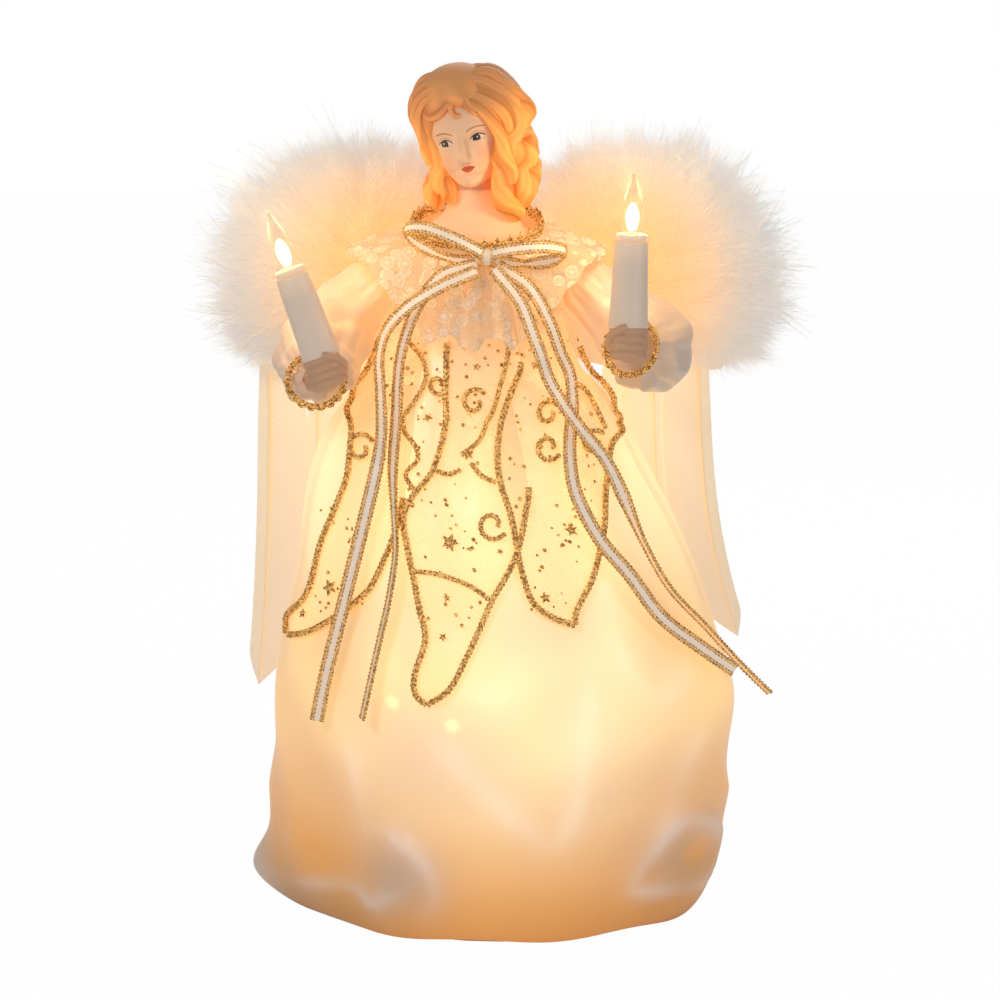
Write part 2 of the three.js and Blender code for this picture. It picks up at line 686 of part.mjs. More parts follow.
// A lock of hair: a rounded wave that swells with each curl and closes at its tip
function lock(path, r, turn) {
  const steps = 11;
  return loft(Array.from({ length: steps + 1 }, (_, i) => {
    const t = i / steps;
    const along = path.getTangent(t);
    const level = along.clone().cross(vec(0, 1, 0)).normalize();
    const front = level.clone().cross(along);
    const swell = 1 + CURL_SWELL * Math.cos(2 * Math.PI * CURLS * t + turn);
    const reach = r * swell * Math.sqrt(1 - 0.94 * ease(t, 0.8, 1) ** 2);
    return Array.from({ length: 7 }, (__, j) => {
      const a = (2 * Math.PI * j) / 7;
      const at = path.getPoint(t).addScaledVector(level, reach * Math.cos(a));
      return at.addScaledVector(front, reach * Math.sin(a));
    });
  }));
}

[-1, 1].forEach((side) => {
  for (let i = 0; i < LOCKS; i += 1) {
    const y = mix(-0.55, 0.5, i / (LOCKS - 1)) * half.y;
    const wave = i % 2 ? 1.6 : -0.8;
    const out = side > 0 ? CURL_REACH : 0;
    const path = spline([
      vec(side * 0.35 * half.x, y, 0.98 * half.z),
      vec(side * (1.02 * half.x + 0.7 * out + wave), y, 0.4 * half.z),
      vec(side * (1.1 * half.x + out - wave), y - 1, -0.25 * half.z),
      vec(side * (1.1 * half.x + out + wave), y - 1.5, -0.8 * half.z),
      vec(side * (1.0 * half.x - wave), y - 1, -1.2 * half.z),
    ]);
    head = head.add(solid(lock(path, side > 0 ? CURL_R : LOCK_R, i)));
  }
});
bust = bust.add(head.transform(headPlace.elements));
const crossBore = new THREE.CylinderGeometry(ARM_WIRE_R + FIT, ARM_WIRE_R + FIT, 4 * SHOULDER_R, 8);
crossBore.rotateZ(Math.PI / 2).translate(0, 0, SHOULDER_Z);
bust = bust.subtract(solid(crossBore));
add('bust_and_head', shapeOf(bust), skin);

// Cross wire through the bust that carries both arms
const wireEnd = SHOULDER_REACH - ARM_WIRE_R - FIT;
const crossWire = new THREE.CylinderGeometry(ARM_WIRE_R, ARM_WIRE_R, 2 * wireEnd, 8);
crossWire.rotateZ(Math.PI / 2).translate(leanAt(SHOULDER_Z), 0, SHOULDER_Z);
add('shoulder_wire', weld(crossWire), wire);

// Arms: elbow, wrist and candle foot from the shoulder joint, and the lean of the candle
const arms = [
  {
    name: 'left',
    side: -1,
    toElbow: vec(-26, 3, -26),
    toWrist: vec(-22, -35, -33.5),
    toCandle: vec(-20, -46, -23),
    lean: -20,
  },
  {
    name: 'right',
    side: 1,
    toElbow: vec(41, 0, -34),
    toWrist: vec(20, -35, -22.5),
    toCandle: vec(18.5, -46, -13),
    lean: 2,
  },
];
arms.forEach(({ name, side, toElbow, toWrist, toCandle, lean }) => {
  const root = vec(shoulderX(side), 0, SHOULDER_Z);
  const elbow = root.clone().add(toElbow);
  const wrist = root.clone().add(toWrist);
  const foot = root.clone().add(toCandle);
  const bend = new THREE.QuadraticBezierCurve3(root, elbow, wrist);
  const place = new THREE.Matrix4().makeRotationY(rad(lean)).setPosition(foot);
  const onAxis = (z) => vec(0, 0, z).applyMatrix4(place);
  const fist = onAxis(-FIST_R - FIT);
  const along = (t, rise) => bend.getPoint(t).add(vec(0, 0, rise));
  const shares = [0.2, 0.4, 0.6, 0.8, 1];

  // Sleeve: a puffed tube of satin, round at the shoulder and drawn in at the wrist
  const stations = [
    [0, SLEEVE_HEAD_R], [0.14, SLEEVE_HEAD_R], [0.3, 0.82 * SLEEVE_PUFF_R], [0.5, 0.97 * SLEEVE_PUFF_R],
    [0.68, SLEEVE_PUFF_R], [0.84, 0.86 * SLEEVE_PUFF_R], [0.94, SLEEVE_CUFF_R], [1, SLEEVE_CUFF_R],
  ];
  const sleeveSides = 14;
  const ringAt = (at, out, r, gather) => {
    const level = vec(0, 0, 1).cross(out).normalize();
    const up = out.clone().cross(level).normalize();
    return Array.from({ length: sleeveSides }, (_, j) => {
      const a = (2 * Math.PI * j) / sleeveSides;
      const reach = r * (1 + gather * Math.cos(SLEEVE_GATHERS * a));
      const across = at.clone().addScaledVector(level, reach * Math.cos(a));
      return across.addScaledVector(up, reach * Math.sin(a));
    });
  };
  const start = bend.getTangent(0);
  const rings = [-75, -50, -25].map((deg) => {
    const at = root.clone().addScaledVector(start, SLEEVE_HEAD_R * Math.sin(rad(deg)));
    return ringAt(at, start, SLEEVE_HEAD_R * Math.cos(rad(deg)), 0);
  });
  stations.forEach(([t, r]) => {
    const gather = 0.06 * ease(t, 0.2, 0.5) * (1 - ease(t, 0.85, 0.94));
    rings.push(ringAt(bend.getPoint(t), bend.getTangent(t), r, gather));
  });
  const boreStart = root.clone().addScaledVector(start, -2 * SLEEVE_HEAD_R);
  const boreRise = vec(0, 0, LEAD_RISE / 2);
  const boreCurve = spline([
    boreStart.add(boreRise),
    root.clone().add(boreRise),
    ...shares.map((t) => along(t, LEAD_RISE / 2)),
    wrist.clone().addScaledVector(bend.getTangent(1), 4).add(boreRise),
  ]);
  const mouth = ball(
    vec(0.86 * SLEEVE_HEAD_R, 0.76 * SLEEVE_HEAD_R, ARM_WIRE_R + 7 * FIT),
    root.clone().add(vec(-side * 0.76 * SLEEVE_HEAD_R, 0, 0)), 8, 6);
  const sleeve = solid(loft(rings))
    .subtract(solid(tube(boreCurve, SLEEVE_BORE_R, 8, 10)))
    .subtract(solid(mouth));
  add(`${name}_sleeve`, shapeOf(sleeve), satin);

  // Arm wire from its ball at the shoulder to the grip of the hand
  const wireGrip = wrist.clone().addScaledVector(bend.getTangent(1), WRIST_R);
  const wireSteps = 10;
  const wireCurve = spline([root, ...shares.map((t) => along(t, 0)), wireGrip]);
  const armWire = solid(tube(wireCurve, ARM_WIRE_R, 6, wireSteps))
    .add(solid(ball(vec(ARM_WIRE_R, ARM_WIRE_R, ARM_WIRE_R), root, 6, 5)));
  add(`${name}_arm_wire`, shapeOf(armWire), wire);

  // Lamp lead: down the candle, through the fist and along the arm to the shoulder
  const tail = CANDLE_HEIGHT + FIT - CUP_DEPTH - LAY;
  const leadSteps = 17;
  const leadCurve = spline([
    onAxis(tail),
    onAxis(0),
    fist,
    ...shares.slice().reverse().map((t) => along(t, LEAD_RISE)),
    root.clone().add(vec(0, 0, LEAD_RISE)),
  ]);
  add(`${name}_lamp_lead`, tube(leadCurve, LEAD_R, 5, leadSteps), greenWire);

  // Hand: a closed fist with its wrist inside the sleeve
  let hand = solid(ball(vec(FIST_R, FIST_R, FIST_R), fist, 10, 8));
  for (let i = 0; i < FINGERS; i += 1) {
    const z = -FIT - FIST_R + mix(0.62, -0.68, i / (FINGERS - 1)) * FIST_R;
    const reach = Math.sqrt(FIST_R ** 2 - (z + FIT + FIST_R) ** 2) - 0.4 * FINGER_R;
    const arc = [-80, -40, 0, 40, 80].map((deg) => {
      const a = rad(deg);
      return vec(reach * Math.sin(a), -reach * Math.cos(a), z).applyMatrix4(place);
    });
    hand = hand.add(solid(tube(spline(arc), FINGER_R, 5, 3)));
  }
  const thumb = spline([
    vec(-side * 3, -1, -FIST_R - 1),
    vec(-side * 5.4, -2.2, -FIST_R * 0.7),
    vec(-side * 5, -3.4, -FINGER_R - 2 * FIT),
  ].map((p) => p.applyMatrix4(place)));
  hand = hand.add(solid(tube(thumb, FINGER_R, 5, 3)));
  const wristCurve = spline([
    along(0.78, LEAD_RISE / 2), along(0.9, LEAD_RISE / 2), along(1, LEAD_RISE / 2), fist,
  ]);
  hand = hand.add(solid(tube(wristCurve, WRIST_R, 8, 5)));
  const flatTop = new THREE.CylinderGeometry(4 * FIST_R, 4 * FIST_R, 2 * FIST_R, 16).rotateX(Math.PI / 2);
  hand = hand.subtract(solid(flatTop.translate(0, 0, FIST_R - FIT).applyMatrix4(place)));
  const pegHole = new THREE.CylinderGeometry(PEG_R + FIT, PEG_R + FIT, 2 * (PEG_LENGTH + FIT), 12);
  hand = hand.subtract(solid(pegHole.rotateX(Math.PI / 2).applyMatrix4(place)));
  hand = hand.subtract(solid(tube(leadCurve, LEAD_R + FIT, 5, leadSteps)));
  hand = hand.subtract(solid(tube(wireCurve, ARM_WIRE_R + FIT, 6, wireSteps)));
  const wireTip = ARM_WIRE_R + FIT;
  hand = hand.subtract(solid(ball(vec(wireTip, wireTip, wireTip), wireGrip, 6, 4)));
  add(`${name}_hand`, shapeOf(hand), skin);

  // Braid round the cuff
  const cuffR = SLEEVE_CUFF_R + LAY + CUFF_BRAID_R;
  const cuffTurn = new THREE.Quaternion().setFromUnitVectors(vec(0, 0, 1), bend.getTangent(1));
  const cuff = oval(() => vec(0, 0, 0), cuffR, cuffR, CUFF_BRAID_R, 20, 6);
  cuff.applyMatrix4(new THREE.Matrix4().compose(wrist, cuffTurn, vec(1, 1, 1)));
  add(`${name}_cuff_braid`, cuff, goldBraid);

  // Candle: tube with a peg in the fist, a lamp cup in its top and a push-in bulb
  const candle = solid(revolve([
    [0, -PEG_LENGTH],
    [PEG_R, -PEG_LENGTH],
    [PEG_R, 0],
    [CANDLE_FOOT_R, 0],
    [CANDLE_FOOT_R - 0.5, 2],
    [CANDLE_TOP_R, CANDLE_HEIGHT],
    [CANDLE_TOP_R - CANDLE_WALL, CANDLE_HEIGHT],
    [CANDLE_FOOT_R - 0.5 - CANDLE_WALL, CANDLE_FLOOR],
    [0, CANDLE_FLOOR],
  ], 12).applyMatrix4(place)).subtract(solid(tube(leadCurve, LEAD_R + FIT, 5, leadSteps)));
  add(`${name}_candle_tube`, shapeOf(candle), plastic);
  const cupFoot = CANDLE_HEIGHT + FIT - CUP_DEPTH;
  const cupMouth = CANDLE_HEIGHT + FIT + CUP_LIP;
  const cupR = CANDLE_TOP_R - CANDLE_WALL - FIT;
  add(`${name}_lamp_cup`, revolve([
    [0, cupFoot],
    [cupR, cupFoot],
    [cupR, CANDLE_HEIGHT + FIT],
    [CUP_LIP_R, CANDLE_HEIGHT + FIT],
    [CUP_LIP_R, cupMouth - 0.6],
    [CUP_LIP_R - 0.6, cupMouth],
    [boreR, cupMouth],
    [boreR, cupMouth - BULB_BASE_LENGTH - FIT],
    [0, cupMouth - BULB_BASE_LENGTH - FIT],
  ], 12).applyMatrix4(place), plastic);
  const profile = bulbProfile(cupMouth, CANDLE_BULB_R, CANDLE_BULB_BODY, CANDLE_BULB_TIP);
  add(`${name}_candle_bulb`, revolve(profile, 10).applyMatrix4(place), glass);
});

// Wings: a swept card board, long feathers on its front and a marabou trim over their tops
const boardY = -dressPoint(0, BOARD_FOOT_Z, 0).y + 2 * LAY;
const sweep = rad(WING_SWEEP);
const onWing = (side, u, v, z) => vec(
  side * (BOARD_HALF + u * Math.cos(sweep) - v * Math.sin(sweep)),
  boardY + u * Math.sin(sweep) + v * Math.cos(sweep),
  z,
);
const wingOutline = new THREE.Shape();
wingOutline.moveTo(-2, BOARD_FOOT_Z);
wingOutline.lineTo(-2, BOARD_TOP_Z);
wingOutline.bezierCurveTo(14, BOARD_TOP_Z + 26, 60, BOARD_TOP_Z + 34, 70, BOARD_TOP_Z);
wingOutline.bezierCurveTo(80, BOARD_TOP_Z - 20, 78, BOARD_FOOT_Z - 2, 68, BOARD_FOOT_Z - 8);
wingOutline.bezierCurveTo(50, BOARD_FOOT_Z - 10, 26, BOARD_FOOT_Z - 9, 8, BOARD_FOOT_Z);
let board = solid(new THREE.BoxGeometry(2 * BOARD_HALF + 2, BOARD, BOARD_TOP_Z - BOARD_FOOT_Z)
  .translate(0, boardY + BOARD / 2, (BOARD_TOP_Z + BOARD_FOOT_Z) / 2));
[-1, 1].forEach((side) => {
  const sheet = { depth: BOARD, bevelEnabled: false, curveSegments: 7 };
  const panel = new THREE.ExtrudeGeometry(wingOutline, sheet);
  const at = panel.attributes.position;
  for (let i = 0; i < at.count; i += 1) {
    const point = onWing(side, at.getX(i), at.getZ(i), at.getY(i));
    at.setXYZ(i, point.x, point.y, point.z);
  }
  board = board.add(solid(panel));
});
add('wing_board', shapeOf(board), card);

// Long feathers: place along the wing, length, half width and how far the tip splays out
const feathers = [
  { name: 'left_feather_outer', side: -1, u: 64, length: 119, half: 8, splay: 4 },
  { name: 'left_feather_middle', side: -1, u: 49, length: 80, half: 6.2, splay: 2 },
  { name: 'left_feather_inner', side: -1, u: 35, length: 30, half: 6, splay: 1 },
  { name: 'right_feather_outer', side: 1, u: 60, length: 100, half: 8, splay: 9 },
  { name: 'right_feather_middle', side: 1, u: 44.5, length: 74, half: 6.5, splay: 4 },
  { name: 'right_feather_inner', side: 1, u: 31, length: 32, half: 6, splay: 2 },
];
const featherTop = BOARD_FOOT_Z - FEATHER_DROP;
const featherV = -(FIT + FEATHER / 2);
feathers.forEach(({ name, side, u, length, half: vaneHalf, splay }) => {
  const rings = [];
  for (let i = 0; i <= 12; i += 1) {
    const t = i / 12;
    const middle = u + splay * t * t;
    const open = mix(0.25, 1, ease(t, 0, 0.15)) * mix(1, 0.2, ease(t, 0.84, 1));
    const z = featherTop - length * t;
    const slant = 3 * ease(t, 0.8, 1);
    rings.push([
      onWing(side, middle - vaneHalf * open, featherV, z + slant),
      onWing(side, middle, featherV - FEATHER / 2, z),
      onWing(side, middle + vaneHalf * open, featherV, z - slant),
      onWing(side, middle, featherV + FEATHER / 2, z),
    ]);
  }
  add(name, loft(rings), vane);
});

// Marabou: a soft arch from the neck over the wing and down its side, as place, rise over the board, radius
const marabouRoute = spline([
  vec(3, 26, 10), vec(25, 28, 17), vec(49, 23, 20), vec(65, 6, 21), vec(72, -18, 20), vec(72, -34, 14),
]);
const marabouV = -LAY;
[['left', -1], ['right', 1]].forEach(([name, side]) => {
  const rings = [];
  for (let i = 0; i <= 16; i += 1) {
    const t = i / 16;
    const at = marabouRoute.getPointAt(t);
    const along = marabouRoute.getTangentAt(t).setZ(0).normalize();
    const end = Math.sqrt(Math.max(0.12, 1 - Math.max(0, 1 - 7 * t, 7 * t - 6) ** 2));
    const r = at.z * end;
    rings.push(Array.from({ length: 10 }, (_, j) => {
      const a = (2 * Math.PI * (j + 0.5)) / 10;
      const out = r * Math.cos(a);
      const v = marabouV - MARABOU_FLATTEN * (at.z - r * Math.sin(a));
      return onWing(side, at.x - along.y * out, v, BOARD_TOP_Z + at.y + along.x * out);
    }));
  }
  add(`${name}_marabou`, loft(rings), fluff);
});

export default group;
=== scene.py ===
"""Angel tree topper: the looks of a dressed, lit figure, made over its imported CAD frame."""
import logging
import math
import random
from bisect import bisect_right
from collections.abc import Callable, Sequence
from dataclasses import dataclass
from enum import Enum
from functools import lru_cache
from typing import ClassVar

import bmesh
import bpy
from mathutils import Matrix, Vector


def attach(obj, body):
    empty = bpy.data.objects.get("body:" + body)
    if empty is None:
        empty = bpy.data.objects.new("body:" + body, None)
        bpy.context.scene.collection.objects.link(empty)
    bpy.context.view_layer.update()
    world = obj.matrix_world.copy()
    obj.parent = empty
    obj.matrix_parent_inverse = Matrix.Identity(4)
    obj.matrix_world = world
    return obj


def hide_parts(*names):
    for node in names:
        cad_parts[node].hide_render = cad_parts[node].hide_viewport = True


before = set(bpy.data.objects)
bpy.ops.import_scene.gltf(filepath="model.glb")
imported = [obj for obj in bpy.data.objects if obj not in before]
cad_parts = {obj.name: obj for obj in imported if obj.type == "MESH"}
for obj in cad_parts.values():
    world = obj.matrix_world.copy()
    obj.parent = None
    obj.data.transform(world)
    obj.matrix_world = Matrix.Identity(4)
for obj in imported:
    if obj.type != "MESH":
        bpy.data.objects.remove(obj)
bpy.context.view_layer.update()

MM = 0.001
TAU = 2 * math.pi
DEGREE = 1.3  # Cloth near the hem that one degree takes up
FRONT = Vector((0, -1, 0))
UP = Vector((0, 0, 1))
log = logging.getLogger("topper")

Point = tuple[float, float, float]
Flat = tuple[float, float]
Colour = tuple[float, float, float]
Layout = Callable[[float, float], Vector]
Facing = Callable[[Vector, float], Vector]
Section = Callable[[float, float], Flat]
BLACK = (0.0, 0.0, 0.0)


def darker(tint: Colour, share: float) -> Colour:
    """Gives a share of a colour's brightness."""
    return tuple(c * share for c in tint)


def mix(low: float, high: float, share: float) -> float:
    """Goes evenly from one value to another by a share."""
    return low + (high - low) * share


def ease(value: float, low: float, high: float) -> float:
    """Rises softly from 0 to 1 as a value goes from low to high."""
    share = min(1.0, max(0.0, (value - low) / (high - low)))
    return share * share * (3 - 2 * share)


def hill(distance: float, width: float) -> float:
    """Gives a soft bump of a half width: 1 in the middle, falling to 0 with the distance."""
    return math.exp(-((distance / width) ** 2))


def through(stations: Sequence[Flat], value: float) -> float:
    """Reads a soft line through given stations.

    Args:
        stations: Pairs of place and height, in rising order.
        value: Where to read.

    Returns:
        The height there.
    """
    if value <= stations[0][0]:
        return stations[0][1]
    for (low, start), (high, end) in zip(stations, stations[1:]):
        if value <= high:
            return mix(start, end, ease(value, low, high))
    return stations[-1][1]


class Route:
    """A smooth line through points, walked by share of its length."""

    def __init__(self, points: Sequence[Point], fine: int = 14) -> None:
        """Draws the line.

        Args:
            points: Where it passes, in millimetres.
            fine: Steps between two points.
        """
        knots = [Vector(p) for p in points]
        knots = [knots[0] * 2 - knots[1], *knots, knots[-1] * 2 - knots[-2]]
        spans = range(len(knots) - 3)
        self.dots = [self._between(knots[i : i + 4], j / fine) for i in spans for j in range(fine)]
        self.dots.append(knots[-2])
        self.walked = [0.0]
        for a, b in zip(self.dots, self.dots[1:]):
            self.walked.append(self.walked[-1] + (b - a).length)

    @staticmethod
    def _between(four: Sequence[Vector], share: float) -> Vector:
        """Finds a place on the centripetal curve between the middle two of four points.

        Args:
            four: The points.
            share: How far along.

        Returns:
            The place.
        """
        t = [0.0]
        for a, b in zip(four, four[1:]):
            t.append(t[-1] + max(1e-4, (b - a).length ** 0.5))
        at = mix(t[1], t[2], share)
        first = [four[i].lerp(four[i + 1], (at - t[i]) / (t[i + 1] - t[i])) for i in range(3)]
        second = [first[i].lerp(first[i + 1], (at - t[i]) / (t[i + 2] - t[i])) for i in range(2)]
        return second[0].lerp(second[1], (at - t[1]) / (t[2] - t[1]))

    @property
    def length(self) -> float:
        """The whole length, in millimetres."""
        return self.walked[-1]

    def at(self, share: float) -> Vector:
        """Finds a place by share of length.

        Args:
            share: From 0 to 1.

        Returns:
            The place.
        """
        goal = min(1.0, max(0.0, share)) * self.length
        high = bisect_right(self.walked, goal, 1, len(self.walked) - 1)
        start, end = self.walked[high - 1], self.walked[high]
        return self.dots[high - 1].lerp(self.dots[high], (goal - start) / (end - start) if end > start else 0)

    def along(self, share: float) -> Vector:
        """Gives the direction of travel at a share of the length."""
        return (self.at(min(1, share + 0.01)) - self.at(max(0, share - 0.01))).normalized()


class Socket:
    """A shader socket that takes part in Python arithmetic."""

    def __init__(self, graph: "Graph", out: bpy.types.NodeSocket) -> None:
        """Keeps the material it belongs to and the output socket."""
        self.graph, self.out = graph, out

    def _math(self, operation: str, *values: "Socket | float") -> "Socket":
        """Adds a math node with the given inputs."""
        return self.graph.node("ShaderNodeMath", {"operation": operation}, dict(enumerate(values)))

    def __add__(self, other: "Socket | float") -> "Socket":
        """Adds."""
        return self._math("ADD", self, other)

    def __mul__(self, other: "Socket | float") -> "Socket":
        """Multiplies."""
        return self._math("MULTIPLY", self, other)

    def __sub__(self, other: "Socket | float") -> "Socket":
        """Subtracts."""
        return self._math("SUBTRACT", self, other)

    def __rsub__(self, other: float) -> "Socket":
        """Subtracts from a number."""
        return self._math("SUBTRACT", other, self)

    def __truediv__(self, other: "Socket | float") -> "Socket":
        """Divides."""
        return self._math("DIVIDE", self, other)

    def __pow__(self, other: float) -> "Socket":
        """Raises to a power."""
        return self._math("POWER", self, other)

    def __abs__(self) -> "Socket":
        """Drops the sign."""
        return self._math("ABSOLUTE", self)

    __radd__, __rmul__ = __add__, __mul__

    def wave(self) -> "Socket":
        """Takes the sine."""
        return self._math("SINE", self)

    def over(self, other: "Socket | float") -> "Socket":
        """Takes the larger of two values."""
        return self._math("MAXIMUM", self, other)

    def under(self, other: "Socket | float") -> "Socket":
        """Takes the smaller of two values."""
        return self._math("MINIMUM", self, other)

    def rise(self, low: float, high: float) -> "Socket":
        """Rises softly from 0 to 1 between two values."""
        sockets = {"Value": self, "From Min": low, "From Max": high}
        return self.graph.node("ShaderNodeMapRange", {"interpolation_type": "SMOOTHSTEP"}, sockets)

    def near(self, middle: float, low: float, high: float) -> "Socket":
        """Falls softly from 1 to 0 with the distance from a value."""
        return 1 - abs(self - middle).rise(low, high)


class Graph:
    """One material's nodes, or the world's."""

    def __init__(self, name: str, world: bpy.types.World | None = None) -> None:
        """Starts an empty material.

        Args:
            name: The material's name.
            world: The world whose nodes these are, where they aren't a material's.
        """
        self.material = world or bpy.data.materials.new(name)
        self.material.use_nodes = True
        self.tree = self.material.node_tree
        self.tree.nodes.clear()

    def node(self, kind: str, settings: dict, sockets: dict, take: int | str = 0) -> Socket:
        """Adds one node.

        Args:
            kind: The node's type.
            settings: Its properties.
            sockets: Its inputs, by name or number.
            take: The output to hand on.

        Returns:
            That output.
        """
        made = self.tree.nodes.new(kind)
        for key, value in settings.items():
            setattr(made, key, value)
        for key, value in sockets.items():
            if isinstance(value, Socket):
                self.tree.links.new(value.out, made.inputs[key])
            else:
                made.inputs[key].default_value = value
        return Socket(self, made.outputs[take]) if made.outputs else made

    def mark(self, name: str) -> Socket:
        """Reads a value kept on the mesh."""
        return self.node("ShaderNodeAttribute", {"attribute_name": name}, {}, "Fac")

    def uv(self) -> Socket:
        """Reads the mesh's flat coordinates."""
        return self.node("ShaderNodeTexCoord", {}, {}, "UV")

    def place(self) -> Socket:
        """Reads the object's own coordinates, in metres."""
        return self.node("ShaderNodeTexCoord", {}, {}, "Object")

    def split(self, vector: Socket) -> tuple[Socket, Socket, Socket]:
        """Takes a vector apart into its three values."""
        first = self.node("ShaderNodeSeparateXYZ", {}, {0: vector})
        return tuple(Socket(self, out) for out in first.out.node.outputs)

    def noise(self, scale: float, detail: float = 2.0) -> Socket:
        """Adds a soft random pattern from 0 to 1, by how fine and how rough it is."""
        sockets = {"Vector": self.place(), "Scale": scale, "Detail": detail}
        return self.node("ShaderNodeTexNoise", {}, sockets, "Fac")

    def cells(self, scale: float, feature: str = "F1", take: str = "Distance") -> Socket:
        """Adds a pattern of cells, by how fine it is, what is measured and the output to use."""
        sockets = {"Vector": self.place(), "Scale": scale}
        return self.node("ShaderNodeTexVoronoi", {"feature": feature}, sockets, take)

    def blend(self, share: Socket | float, low: "Colour | Socket", high: "Colour | Socket") -> Socket:
        """Mixes two colours by a share."""
        tints = [c if isinstance(c, Socket) else (*c, 1.0) for c in (low, high)]
        return self.node("ShaderNodeMix", {"data_type": "RGBA"}, {0: share, 6: tints[0], 7: tints[1]}, 2)

    def bump(self, height: Socket, strength: float, depth: float) -> Socket:
        """Turns a relief from 0 to 1 into a normal, by its strength and its depth in metres."""
        sockets = {"Strength": strength, "Distance": depth, "Height": height}
        return self.node("ShaderNodeBump", {}, sockets, "Normal")

    def surface(self, sockets: dict) -> bpy.types.Material:
        """Closes the material with one principled surface.

        Args:
            sockets: Its inputs.

        Returns:
            The material.
        """
        if "Emission Color" in sockets:
            sockets = {"Emission Strength": 1.0, **sockets}
        surface = self.node("ShaderNodeBsdfPrincipled", {}, sockets)
        self.node("ShaderNodeOutputMaterial", {}, {"Surface": surface})
        return self.material


@dataclass(frozen=True)
class Finish:
    """What a material is made from."""

    name: str

    def sockets(self, graph: Graph) -> dict:
        """Gives the surface's inputs by name, and adds the nodes behind them to the material.

        Args:
            graph: The material's nodes.

        Returns:
            The inputs by name.
        """
        raise NotImplementedError

    def make(self) -> bpy.types.Material:
        """Makes the material."""
        graph = Graph(self.name)
        return graph.surface(self.sockets(graph))


@dataclass(frozen=True)
class Plain(Finish):
    """A finish of one colour with a fine grain."""

    tint: Colour
    rough: float = 0.5
    metal: float = 0.0
    grain: float = 0.12

    def sockets(self, graph: Graph) -> dict:
        """Gives the surface's inputs.

        Args:
            graph: The material's nodes.

        Returns:
            The inputs by name.
        """
        pattern = graph.noise(900)
        tint = graph.blend(pattern, darker(self.tint, 1 - self.grain), self.tint)
        return {"Base Color": tint, "Roughness": self.rough + (pattern - 0.5) * 0.1, "Metallic": self.metal}


@dataclass(frozen=True)
class Satin(Finish):
    """White satin that the lamps behind it warm."""

    cool: Colour = (0.80, 0.755, 0.715)
    warm: Colour = (0.79, 0.42, 0.15)
    low: Colour = (1.0, 0.36, 0.04)
    high: Colour = (1.0, 0.71, 0.24)

    def sockets(self, graph: Graph) -> dict:
        """Gives the surface's inputs.

        Args:
            graph: The material's nodes.

        Returns:
            The inputs by name.
        """
        # Painted light: the warm mark tints the base colour with the lamps' warm light, and the glow mark
        # paints their light through the cloth as emission.
        glow = graph.mark("glow")
        weave = graph.noise(2600, 1.0)
        light = graph.blend(glow.rise(0.1, 0.9), self.low, self.high)
        return {
            "Base Color": graph.blend(graph.mark("warm"), self.cool, self.warm),
            "Roughness": 0.24 + weave * 0.1,
            "Specular IOR Level": 0.6,
            "Sheen Weight": 0.15,
            "Emission Color": graph.node(
                "ShaderNodeVectorMath", {"operation": "SCALE"}, {0: light, "Scale": glow}
            ),
            "Normal": graph.bump(weave, 0.12, 0.0002),
        }


@dataclass(frozen=True)
class Sheer(Finish):
    """Organza: a see-through weave with a faint sparkle."""

    tint: Colour = (0.84, 0.66, 0.46)
    cover: float = 0.26

    def sockets(self, graph: Graph) -> dict:
        """Gives the surface's inputs.

        Args:
            graph: The material's nodes.

        Returns:
            The inputs by name.
        """
        across, down, _ = graph.split(graph.uv())
        threads = (across * 900).wave() * (down * 1500).wave()
        patches = graph.noise(70, 3.0)
        spark, _, _ = graph.split(graph.cells(1500, take="Color"))
        bright = spark.rise(0.97, 0.995)
        light = graph.mark("glow").rise(0.05, 0.8)
        return {
            "Base Color": graph.blend(bright, self.tint, (0.95, 0.85, 0.7)),
            "Roughness": 0.45 - bright * 0.25,
            "Alpha": self.cover + threads * 0.08 + (patches - 0.5) * 0.3 + bright * 0.06,
            "Sheen Weight": 0.3,
            "Emission Color": graph.blend(light, (0.04, 0.03, 0.02), (0.60, 0.385, 0.18)),
        }


@dataclass(frozen=True)
class Glitter(Finish):
    """Gold thread full of small bright and dark facets."""

    dark: Colour = (0.32, 0.15, 0.04)
    light: Colour = (1.0, 0.68, 0.28)
    rough: float = 0.3

    def sockets(self, graph: Graph) -> dict:
        """Gives the surface's inputs.

        Args:
            graph: The material's nodes.

        Returns:
            The inputs by name.
        """
        facet, turn, _ = graph.split(graph.cells(2100, take="Color"))
        return {
            "Base Color": graph.blend(facet.rise(0.15, 0.95), self.dark, self.light),
            "Roughness": self.rough + turn * 0.25,
            "Metallic": 0.4,
            # Painted warm lamp light on the gold, strongest on the bright facets.
            "Emission Color": graph.blend(facet.rise(0.1, 0.9), (0.05, 0.02, 0.004), (0.36, 0.18, 0.04)),
            "Normal": graph.bump(facet, 0.7, 0.0004),
        }


